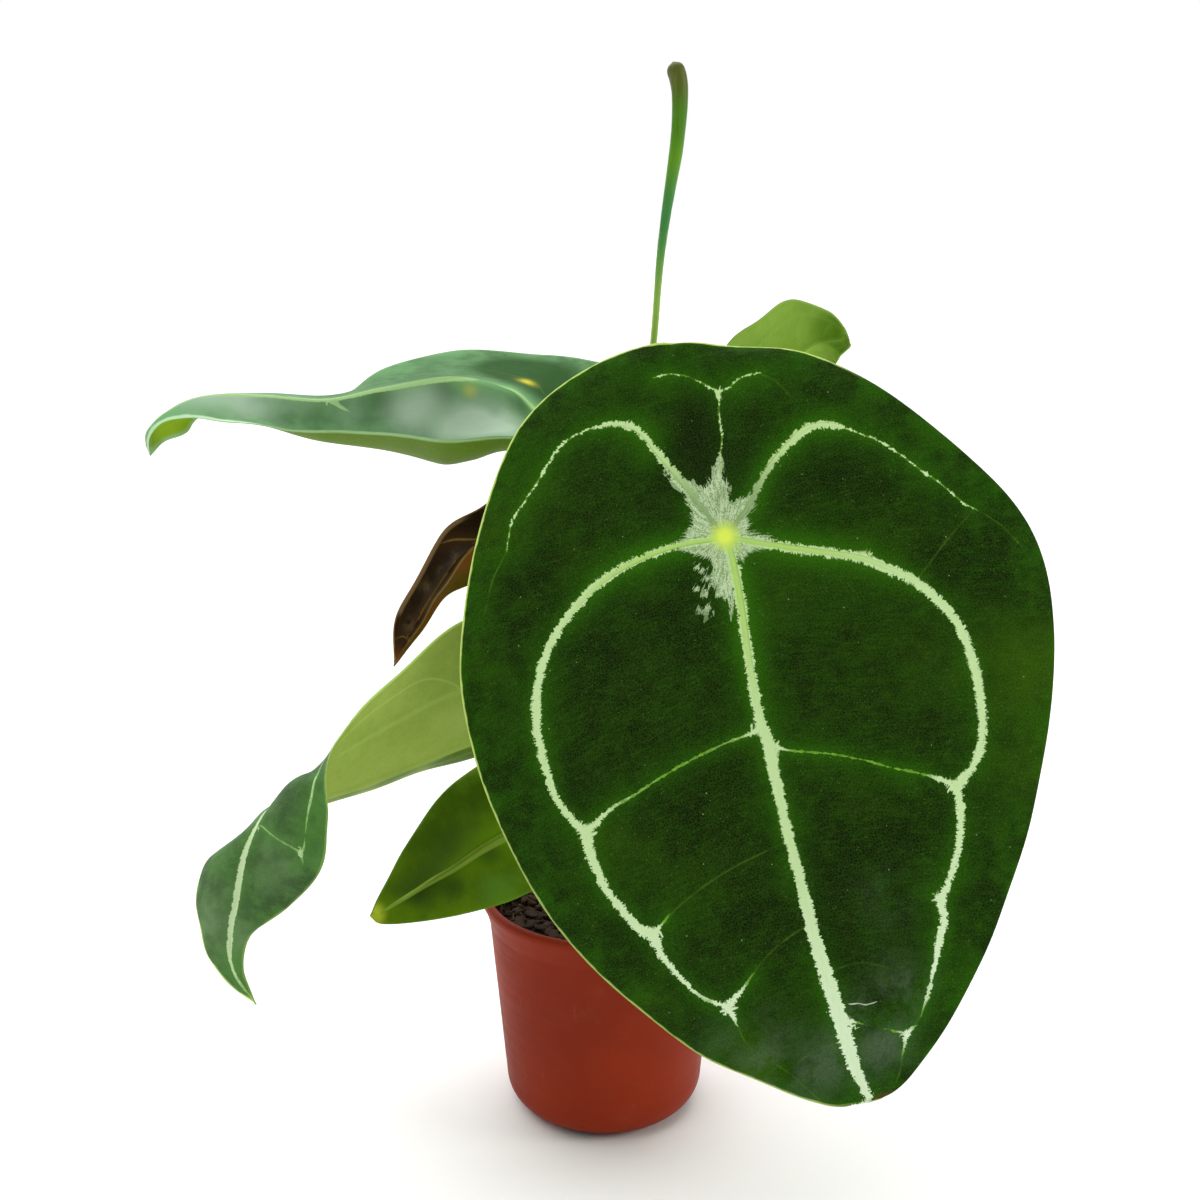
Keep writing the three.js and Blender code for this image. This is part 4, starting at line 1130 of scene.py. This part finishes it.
blade("lower_left", 2, 1.3, 0.5, (0.8, 0.3), [
    blade_top("young_top", young_ground, (146, 174, 66), (140, 168, 64), (150, 175, 70), 0.45, 0.05, 0.08, 0.0,
              (100, 140, 40), creased=0.0),
    blade_under("young_under", (104, 132, 50), (84, 112, 34), (140, 166, 76)),
    blade_rim("young_rim", (104, 138, 48), (90, 124, 34)),
], "blade_young", {
    "lines": [
        [(2, 0, 3.0), (2.76, -0.12, 3.0), (3.36, -0.1, 2.7), (4.01, -0.08, 2.2), (4.87, 0, 1.6),
         (5.66, 0.02, 1.1), (6.2, 0, 0.4)],
    ],
    "lift": [
        (3.9, 0.3, 14, -0.7), (4.6, 0.15, 10, -0.6), (3.2, 0.5, 10, -0.4), (3.3, -0.7, 14, 0.6),
        (5.2, -0.8, 9, 0.4), (3.2, -0.3, 8, -0.8), (4.0, -0.5, 7, -0.7), (4.9, -0.3, 8, -0.7), (5.5, 0.4, 8, -0.5),
    ],
    "painted_sheen": [(6.8, 0, 7, 1.0)],
})

blade("bronze", 2, 1.2, 0.4, (0.7, 0.3), [
    blade_top("bronze_top", bronze_ground, (132, 100, 50), (130, 98, 50), (120, 100, 50), 0.4, 0.05, 0.04,
              0.04, (140, 106, 66), (96, 76, 36)),
    blade_under("bronze_under", (118, 86, 54), (86, 58, 30), (134, 104, 66)),
    blade_rim("bronze_rim", (150, 114, 76), (110, 74, 40)),
], "blade_bronze", {
    "lines": [
        [(2, 0, 1.0), (2.8, 0.02, 1.0), (3.56, -0.02, 1.0), (4.16, -0.19, 0.9), (4.8, -0.38, 0.9),
         (5.53, -0.5, 0.8), (6.17, -0.32, 0.7), (6.6, -0.1, 0.5), (6.9, 0, 0.3)],
        [(3.2, 0.1, 0.4), (3.5, 0.34, 0.7), (3.89, 0.65, 0.7), (4.17, 0.85, 0.5)],
        [(6.36, 0.7, 0.3), (6.2, 0.3, 0.5), (6.15, -0.1, 0.4)],
    ],
    "lift": [(4.0, 0.9, 12, 0.9), (4.6, 0.95, 10, 0.9), (5.2, 0.95, 9, 0.9), (5.6, 0.95, 6, 0.6)],
    "painted_sheen": [(4.04, 0.26, 4, 0.8), (4.97, 0.6, 4, 0.8), (5.86, 0.28, 4, 0.8), (4.5, 0.5, 3, 0.5)],
    "blot": [(6.9, 0, 7, 0.9)],
})

blade("upper_right", 2, 1.3, 0.6, (0.5, 0.15), [
    blade_top("light_top", light_ground, (160, 196, 110), (196, 222, 168), (200, 226, 70), 0.45, 0.7),
    blade_under("light_under", (136, 172, 62), (112, 150, 34), (150, 182, 90), bright=(146, 176, 84),
                deep=(80, 124, 4), ribs=0.1),
    blade_rim("light_rim", (164, 194, 104), (134, 170, 74)),
], "blade_light", {
    "lines": usual_veins(2, 7, 1.3, 0.3),
    "lift": [
        (2.6, -0.4, 14, 0.7), (3.2, -0.6, 10, 0.5), (5.6, 0, 12, -0.9), (6.4, 0, 9, -0.9), (4.8, 0.6, 9, -0.5),
        (4.4, -0.8, 8, 0.6),
    ],
})

# --- stalks ---


def stalk_material(name, low, middle, high, fleck, turn=(0.5, 1.0)):
    """Smooth fleshy stalk: its colour changes along it, with fine lines and small pale pores."""
    s = Shader(name)
    along, lines = s.field("along"), s.streaks((900, 900, 60), 4, 0.6, 0.2)
    pores = s.span(s.cells(1.0, at=s.stretched((800, 800, 380))), 0.16, 0.06)
    pores = pores * s.span(s.noise(300, 1), 0.55, 0.6)
    colour = s.over(
        low,
        (s.span(along, 0.0, 0.45), middle),
        (s.span(along, *turn), high),
        (s.span(lines, 0.42, 0.7) * 0.35, fleck),
        (s.span(s.noise(70, 3, 0.6), 0.5, 0.75) * 0.35, low),
        (pores * 0.55, (206, 216, 160)),
    )
    return s.done(colour, lines * 0.2 + 0.32, 0.25, (lines, 0.0003, 0.4), (pores, 0.0002, 0.5))


# Station of the seat, middle radius, and the way from the crown
STALKS = {
    "front": (4, 2.6, [[5, 1, 108], [14, -1, 165], [32, -10, 235], [46, -38, 290]]),
    "upper_left": (2, 2.3, [[-1, 12, 110], [-4, 28, 190], [-16, 52, 280]]),
    "twisted": (2, 2.0, [[-2, -3, 106], [-3, -34, 124], [-14, -62, 152], [-34, -68, 182]]),
    "lower_left": (2, 1.6, [[-7, 2, 106], [-13, 0, 122], [-20, -3, 138]]),
    "bronze": (2, 1.4, [[-9, 8, 108], [-15, 20, 185], [-26, 42, 262]]),
    "upper_right": (2, 1.7, [[6, 10, 108], [15, 15, 160], [36, 20, 250], [62, 30, 312]]),
}
SEAT_RUN = 16

green_stalk = stalk_material("stalk_green", (108, 112, 52), (112, 146, 62), (132, 164, 74), (84, 116, 40))
bronze_stalk = stalk_material("stalk_bronze", (96, 84, 44), (98, 84, 44), (106, 84, 50), (70, 52, 28))

for name, (seat, middle, way) in STALKS.items():
    rib, up = seat_of(name, seat)
    end = rib - up * (RIB_BACK + GAP)
    line, share = route([*way, end - up * SEAT_RUN, end], 110)
    joint = np.exp(-(((share - 0.955) / 0.035) ** 2))
    radii = middle * (1 + 0.45 * np.exp(-16 * share) + 0.4 * joint) * (1 + 0.015 * np.sin(share * 60))
    line = np.vstack([line, rib - up * (0.6 * radii[-1] + 0.15)])
    look = bronze_stalk if name == "bronze" else green_stalk
    keep(tube("stem_" + name, line, np.append(radii, radii[-1]), 24, look, 0.012, len(name)), "stalk",
         "petiole_" + name)

# --- flower ---

FLOWER_ROUTE = [
    [0, 5, 116], [4, 2, 200], [14, -5, 300], [21.5, -10, 378], [24.2, -10, 415], [27.4, -10, 440],
    [30.6, -10, 462], [31.6, -10, 479], [30.9, -10, 488], [28.6, -10, 494.5],
]
SPATHE_START = 0.815
PEDUNCLE_R, PEDUNCLE_SWELL = 1.5, 0.4
SPATHE_WIDTHS = [(0, 0.1, 0.28, 0.45, 0.6, 0.85, 1), (1.9, 2.15, 2.4, 2.9, 3.05, 3.7, 3.9)]
SPATHE_LIP = 0.11


def spathe_material():
    s = Shader("spathe_bud")
    along, lines = s.field("along"), s.streaks((1100, 1100, 50), 4, 0.6, 0.1)
    colour = s.over(
        (56, 124, 58),
        (s.span(along, 0.15, 0.45), (84, 136, 18)),
        (s.span(along, 0.45, 0.62), (62, 116, 2)),
        (s.span(along, 0.66, 0.92), (80, 84, 26)),
        (s.span(lines, 0.45, 0.7) * 0.35, (96, 134, 34)),
        (s.span(s.field("seam"), 0.6, 1.0) * 0.6, (48, 74, 16)),
    )
    return s.done(colour, lines * 0.2 + 0.32, 0.2, (lines, 0.0003, 0.5))


def spathe(line):
    """A bract rolled round the spike: its free edge winds round it as a low step."""
    share = np.linspace(0, 1, len(line))[:, None]
    tangents, sides, others = framed(line)
    turn = (turns(48) - 2.2 - 4.5 * share) % ROUND / ROUND
    lip = SPATHE_LIP * step(share, 0.02, 0.2) * (1 - step(share, 0.93, 1))
    radii = np.interp(share, *SPATHE_WIDTHS)
    radii = radii * np.sqrt(np.maximum(0.02, 1 - np.maximum(0, (share - 0.945) / 0.055) ** 2))
    radii = radii * (1 - lip * 0.6 + lip * turn) * (1 - 0.5 * lip * step(turn, 0.965, 1.0))
    ends = [line[0], line[-1] + tangents[-1] * 0.3]
    vertices = np.vstack([rings_about(line, sides, others, radii), ends])
    seam = step(turn, 0.93, 1.0)
    fields = {"along": np.append(share + 0 * turn, [0, 1]), "seam": np.append(seam, [0, 0])}
    faces = capped_faces(*turn.shape)
    keep(made_object("spathe_roll", vertices, faces, [spathe_material()], fields=fields), "spathe", "spathe")


whole = route(FLOWER_ROUTE, 400)[0]
wrapped_from = int(SPATHE_START * 400)
bare = whole[: wrapped_from + 3 : 3]
peduncle_look = stalk_material(
    "peduncle_green", (138, 170, 66), (154, 192, 80), (60, 128, 58), (112, 156, 54), turn=(0.86, 1.0)
)
bare_radii = PEDUNCLE_R + PEDUNCLE_SWELL * step(np.linspace(0, 1, len(bare)), 0.9, 1.0)
keep(tube("peduncle_stem", bare, bare_radii, 20, peduncle_look, 0.01, 3), "stalk", "peduncle")
spathe(whole[wrapped_from:])

# --- crown ---

CROWN = np.array([0.0, 5.0, 0.0])
STEM_PROFILE = [(6, 66), (9, 80), (11.5, 92), (10.5, 97), (12.5, 102), (11.5, 108), (10.5, 112), (7, 117)]
STEM_TOP = 118
ROOTS = [(-60, 20), (35, 24), (120, 19), (205, 23)]  # degrees and reach
ROOT_R = 1.9
SHEATHS = [(-35, 9, 52), (75, 10, 44), (150, 9, 36), (255, 10, 30)]  # degrees, radius, height
SHEATH_FOOT_Z = 104
SHEATH_HALF_WIDTHS = [5, 6, 5.5, 4, 0.5]
SHEATH_THICK = 0.32


def cork_material():
    s = Shader("crown_cork")
    big, rings = s.noise(160, 5, 0.7, 0.6), s.streaks((90, 90, 700), 3, 0.6, 0.5)
    colour = s.over(
        (58, 42, 26), (s.span(big, 0.35, 0.7), (112, 92, 62)), (s.span(rings, 0.5, 0.7) * 0.5, (84, 98, 44))
    )
    return s.done(colour, s.span(big, 0.3, 0.7, 0.95, 0.75), 0.3, (big, 0.0012, 0.8))


def root_material():
    s = Shader("root_skin")
    big = s.noise(220, 4, 0.65)
    colour = s.mix(s.span(big, 0.35, 0.65), (98, 76, 48), (150, 128, 92))
    return s.done(colour, s.span(big, 0.3, 0.7, 0.9, 0.7), 0.3, (s.noise(700, 4, 0.7), 0.0006, 0.7))


def sheath_material():
    s = Shader("sheath_paper")
    lines = s.streaks((1100, 1100, 45), 5, 0.7, 0.3)
    colour = s.over(
        (74, 48, 26),
        (s.span(lines, 0.35, 0.68), (152, 116, 74)),
        (s.span(s.noise(120, 3), 0.5, 0.7) * 0.5, (96, 66, 38)),
    )
    return s.done(colour, s.span(lines, 0.3, 0.7, 0.8, 0.6), 0.35, (lines, 0.0008, 0.8))


def sheath(name, angle, radius, height, look, seed):
    """Dry papery sheath: a curved sheet with a split, frayed top."""
    noise = np.random.default_rng(40 + seed)
    rows, columns = 40, 25
    fray = np.interp(np.linspace(0, 1, columns), np.linspace(0, 1, 9), noise.uniform(-0.16, 0.02, 9))
    u, v = np.linspace(0, 1, rows)[:, None], np.linspace(-1, 1, columns)
    rise = height * u * (1 + fray * u)
    spread = radius + 2 * u + 0.4 * (1 - v * v) + 0.25 * np.sin(v * 9 + u * 7 + seed) + 0.7 * v**4 * u
    turn = angle + v * (np.interp(u * 4, range(5), SHEATH_HALF_WIDTHS) + 0.25) / spread
    sides = []
    for r in (spread + SHEATH_THICK / 2, spread - SHEATH_THICK / 2):
        sides.append(CROWN + np.stack([r * np.cos(turn), r * np.sin(turn), SHEATH_FOOT_Z + rise], -1))
    index = np.arange(rows * columns).reshape(rows, columns)
    faces = shell_faces(index, index + rows * columns)[0]
    keep(made_object(name, np.array(sides).reshape(-1, 3), faces, [look]), "crown", "crown")


def crown():
    profile = refined(STEM_PROFILE, 6)
    vertices, faces = lathe([(0, profile[0][1]), *profile.tolist(), (0, STEM_TOP)], 64)
    angle, z = np.arctan2(vertices[:, 1], vertices[:, 0]), vertices[:, 2]
    knobs = 0.6 * np.sin(angle * 5 + z * 0.5) + 0.45 * np.sin(angle * 9 - z * 0.9) + 0.5 * np.sin(z * 1.4)
    radius = np.linalg.norm(vertices[:, :2], axis=1)
    vertices[:, :2] *= (1 + knobs / np.maximum(radius, 3))[:, None]
    keep(made_object("crown_stem", vertices + CROWN, faces, [cork_material()]), "crown", "crown")
    skin = root_material()
    for k, (degrees, reach) in enumerate(ROOTS):
        a = math.radians(degrees)
        way = [(4, 99), (reach * 0.6, 105), (reach, 99), (reach + 4, 86)]
        line, share = route([CROWN + (r * math.cos(a), r * math.sin(a), z) for r, z in way], 50)
        radii = ROOT_R * (1 - 0.25 * share) * (1 + 0.05 * np.sin(share * 31 + k))
        keep(tube(f"root_{k + 1}", line, radii, 18, skin, 0.04, k), "crown", "crown")
    paper = sheath_material()
    for k, (degrees, radius, height) in enumerate(SHEATHS):
        sheath(f"sheath_{k + 1}", math.radians(degrees), radius, height, paper, k)


crown()

# --- bark mix ---

SOIL_TOP = 100
RIM_R, POT_H, COLLAR_H, NECK_R, BASE_R, FOOT_R, WALL = 60, 112, 14, 56.3, 49, 14, 1.6
RIM_LIP, RIM_DEPTH, BEAD_R = 4.4, 4, 2.1


def wall_radius(z):
    return BASE_R + (NECK_R - BASE_R) * (z - FOOT_R) / (POT_H - COLLAR_H - FOOT_R)


def bumps_at(x, y):
    return (1.1 * np.sin(x * 0.21 + 1.3) * np.cos(y * 0.17) + 0.7 * np.sin(x * 0.43 - y * 0.31)
            + 0.5 * np.cos(x * 0.62 + y * 0.55 + 0.8))


def bed_material():
    s = Shader("soil_bed")
    big = s.noise(190, 5, 0.7)
    colour = s.mix(s.span(big, 0.35, 0.7), (30, 18, 8), (66, 42, 22))
    return s.done(colour, s.span(big, 0.3, 0.7, 1.0, 0.85), 0.25, (s.noise(900, 5, 0.75), 0.0012, 1.0))


def chip_material(name, dark, light):
    s = Shader(name)
    grain = s.streaks((260, 900, 520), 4, 0.65, 0.5)
    colour = s.over(dark, (s.field("tone"), light), (s.span(grain, 0.4, 0.7) * 0.5, dark))
    return s.done(colour, s.span(grain, 0.3, 0.7, 0.95, 0.8), 0.28, (grain, 0.0006, 0.8))


def soil():
    gap = WALL + 0.1
    inside = lambda z: wall_radius(z) - gap
    foot = [(BASE_R - FOOT_R + (FOOT_R - gap) * math.sin(a), FOOT_R - (FOOT_R - gap) * math.cos(a))
            for a in np.linspace(0, math.pi / 2, 8)]
    rings = [((inside(96) - 1.2) * r, SOIL_TOP) for r in np.linspace(1, 0.02, 46)]
    profile = [(0, gap), *foot, (inside(60), 60), (inside(96), 96), *rings, (0, SOIL_TOP)]
    vertices, faces = lathe(profile, 128)
    top = vertices[:, 2] > SOIL_TOP - 0.01
    x, y = vertices[top, :2].T
    rough = 0.5 * np.sin(x * 1.1 + 2 * np.sin(y * 0.8)) * np.cos(y * 1.3) + 0.35 * np.sin(x * 2.3 - y * 1.9)
    vertices[top, 2] += bumps_at(x, y) + rough - 0.4
    keep(made_object("soil_bed", vertices, faces, [bed_material()]), "soil", "soil")


def blob(level):
    """Corners and faces of a round seed shape."""
    shape = bmesh.new()
    bmesh.ops.create_icosphere(shape, subdivisions=level, radius=1)
    corners = np.array([v.co[:] for v in shape.verts])
    faces = np.array([[v.index for v in f.verts] for f in shape.faces])
    shape.free()
    return corners, faces


def turned_at_random(noise, count, flat):
    """Random rotations; flat from 0 to 1 keeps their third axis near the vertical."""
    axis = unit(noise.normal(size=(count, 3)) * (1 - flat) + np.array([0, 0, 1.0]) * flat * 2.2)
    side = unit(np.cross(axis, unit(noise.normal(size=(count, 3)))))
    return np.stack([side, np.cross(axis, side), axis], 1)


def scattered(name, noise, count, level, sizes, reach, sink, flat, dent, look):
    """Many broken pieces on the bed, joined in one mesh, each with its own size, turn and tone."""
    corners, faces = blob(level)
    radius = reach * np.sqrt(noise.uniform(0, 1, count))
    angle = noise.uniform(0, ROUND, count)
    x, y = radius * np.cos(angle), radius * np.sin(angle)
    size = noise.uniform(*np.array(sizes).T, (count, 3))
    rise = bumps_at(x, y) + size[:, 2] * noise.uniform(*sink, count)
    turn = turned_at_random(noise, count, flat)
    shape = np.sign(corners) * np.abs(corners) ** 0.7
    shape = shape * (1 + noise.uniform(-dent, dent, (count, len(corners), 1))) * size[:, None] / 2
    vertices = np.einsum("cvi,cij->cvj", shape, turn) + np.stack([x, y, SOIL_TOP + rise], 1)[:, None]
    every = (faces + (np.arange(count) * len(corners))[:, None, None]).reshape(-1, 3).tolist()
    tone = np.repeat(noise.uniform(0, 1, count), len(corners))
    made = made_object(name, vertices.reshape(-1, 3), every, [look], None, False, {"tone": tone})
    keep(made, "soil", "soil")


def fibres(noise, count):
    """Coconut fibres that lie about on the bed."""
    vertices, faces, tones = [], [], []
    first = 0
    for k in range(count):
        r, a = 52 * math.sqrt(noise.uniform()), noise.uniform(0, ROUND)
        heading, bend = noise.uniform(0, ROUND), noise.uniform(-0.25, 0.25)
        x, y = r * math.cos(a), r * math.sin(a)
        line = []
        for i in range(9):
            line.append((x, y, SOIL_TOP + bumps_at(x, y) + 1.2 + 0.6 * math.sin(i * 0.8 + k)))
            heading += bend
            x += 1.3 * math.cos(heading)
            y += 1.3 * math.sin(heading)
            if math.hypot(x, y) > 53:
                break
        if len(line) < 4:
            continue
        line = np.array(line)
        thick = np.full((len(line), 5), noise.uniform(0.1, 0.22))
        vertices.append(rings_about(line, *framed(line)[1:], thick))
        last = first + thick.size
        faces += ring_faces(len(line), 5, first)
        faces += [[*range(first + 4, first - 1, -1)], [*range(last - 5, last)]]
        tones.append(np.full(thick.size, noise.uniform(0, 1)))
        first = last
    look = chip_material("soil_fibre", (70, 48, 26), (128, 96, 58))
    tone = {"tone": np.concatenate(tones)}
    keep(made_object("soil_fibres", np.concatenate(vertices), faces, [look], fields=tone), "soil", "soil")


soil()
noise = np.random.default_rng(11)
bark = chip_material("soil_bark", (34, 20, 10), (68, 44, 25))
crumb = chip_material("soil_crumb", (26, 16, 8), (60, 40, 24))
scattered("soil_chips", noise, 420, 2, [(3, 9), (2.4, 6), (1.2, 3)], 49, (0.0, 0.7), 0.75, 0.09, bark)
scattered("soil_crumbs", noise, 3200, 1, [(0.8, 3.0), (0.8, 2.4), (0.6, 1.8)], 53, (-0.1, 0.8), 0.2, 0.2, crumb)
fibres(noise, 170)

# --- pot ---

DRAIN_HOLES, DRAIN_R, DRAIN_RING_R = 6, 4, 23
SLOTS, SLOT_W, SLOT_H, SLOT_INNER_R, FIRST_SLOT = 4, 17, 4.2, 34, math.radians(-109)


def plastic_material():
    s = Shader("pot_plastic")
    lines = s.streaks((7, 7, 520), 4, 0.6, 0.1)
    scuffs = s.streaks((240, 240, 60), 5, 0.7, 0.8)
    colour = s.over(
        (128, 39, 14),
        (s.span(s.noise(9, 3, 0.5), 0.35, 0.65), (146, 46, 17)),
        (s.span(lines, 0.45, 0.75) * 0.03, (112, 32, 14)),
        (s.span(s.noise(55, 5, 0.7), 0.52, 0.75) * 0.08, (172, 108, 80)),
        (s.span(scuffs, 0.62, 0.7) * 0.1, (178, 94, 66)),
    )
    rough = s.noise(120, 4, 0.6) * 0.22 + s.span(lines, 0.3, 0.7, 0.34, 0.42)
    return s.done(colour, rough, 0.08, (lines, 0.0001, 0.12), (s.noise(900, 2), 0.00012, 0.35))


def pot_profile():
    collar, rim = POT_H - COLLAR_H, POT_H - RIM_DEPTH
    quarter = np.linspace(0, math.pi / 2, 8)
    foot = lambda r, k: (BASE_R - FOOT_R + r * math.sin(k * math.pi / 32), FOOT_R - r * math.cos(k * math.pi / 32))
    return [
        *((r, 0.0) for r in (0, 4, 12, 20, 30)),
        *(foot(FOOT_R, k) for k in range(17)),
        *((wall_radius(z), z) for z in np.linspace(FOOT_R + 6, collar - 1, 14)),
        (NECK_R + 0.02, collar - 0.3),
        (NECK_R + 0.25, collar + 0.6),
        *((NECK_R + (RIM_R - 0.7 - NECK_R) * k / 5, collar + (rim - collar) * k / 5) for k in range(1, 6)),
        (RIM_R - 0.15, rim + 0.1),
        (RIM_R, rim + 0.5),
        *((RIM_R - BEAD_R * (1 - math.cos(a)), POT_H - BEAD_R * (1 - math.sin(a))) for a in quarter),
        *((RIM_R - RIM_LIP + BEAD_R * (1 - math.sin(a)), POT_H - BEAD_R * (1 - math.cos(a))) for a in quarter),
        (NECK_R - WALL, collar),
        *((wall_radius(z) - WALL, z) for z in np.linspace(collar - 4, FOOT_R + 2, 12)),
        *(foot(FOOT_R - WALL, k) for k in range(16, -1, -1)),
        *((r, WALL) for r in (30, 20, 12, 4, 0)),
    ]


def pot():
    vertices, faces = lathe(pot_profile(), 160)
    made = made_object("pot_shell", vertices, faces, [plastic_material()])
    cuts = bmesh.new()
    for a in turns(DRAIN_HOLES):
        at = Matrix.Translation(Vector((DRAIN_RING_R * math.cos(a), DRAIN_RING_R * math.sin(a), WALL / 2)) * MM)
        bmesh.ops.create_cone(cuts, cap_ends=True, segments=40, radius1=DRAIN_R * MM, radius2=DRAIN_R * MM,
                              depth=(WALL + 4) * MM, matrix=at)
    length = BASE_R + 2 - SLOT_INNER_R
    for a in FIRST_SLOT + turns(SLOTS):
        at = Matrix.Translation(Vector((SLOT_INNER_R + length / 2, 0, (SLOT_H - 2) / 2)) * MM)
        size = Matrix.Diagonal((length * MM, SLOT_W * MM, (SLOT_H + 2) * MM, 1))
        bmesh.ops.create_cube(cuts, size=1, matrix=Matrix.Rotation(a, 4, "Z") @ at @ size)
    tool = linked("cuts", bpy.data.meshes.new("cuts"))
    cuts.to_mesh(tool.data)
    cuts.free()
    cutter = made.modifiers.new("openings", "BOOLEAN")
    cutter.operation = "DIFFERENCE"
    cutter.solver = "EXACT"
    cutter.object = tool
    bpy.context.view_layer.update()
    cut = bpy.data.meshes.new_from_object(made.evaluated_get(bpy.context.evaluated_depsgraph_get()))
    made.modifiers.clear()
    made.data = cut
    bpy.data.objects.remove(tool)
    cut.polygons.foreach_set("use_smooth", [True] * len(cut.polygons))
    cut.set_sharp_from_angle(angle=math.radians(38))
    keep(made, "pot", "pot")


pot()

# --- floor ---


def floor():
    s = Shader("floor_pale")
    colour = s.mix(s.span(s.noise(3, 2), 0.3, 0.7), (246, 246, 245), (250, 250, 249))
    rings, around, low = 24, 64, -0.2
    r, a = 20 * 1.32 ** np.arange(rings)[::-1, None], turns(around)
    vertices = np.stack([r * np.cos(a), r * np.sin(a), low + 0 * r * a], -1).reshape(-1, 3)
    last, tip = (rings - 1) * around, rings * around
    fan = [[last + k, last + (k + 1) % around, tip] for k in range(around)]
    faces = ring_faces(rings, around) + fan
    made_object("floor", np.vstack([vertices, (0, 0, low)]), faces, [s.done(colour, 1.0, 0.0)])


floor()
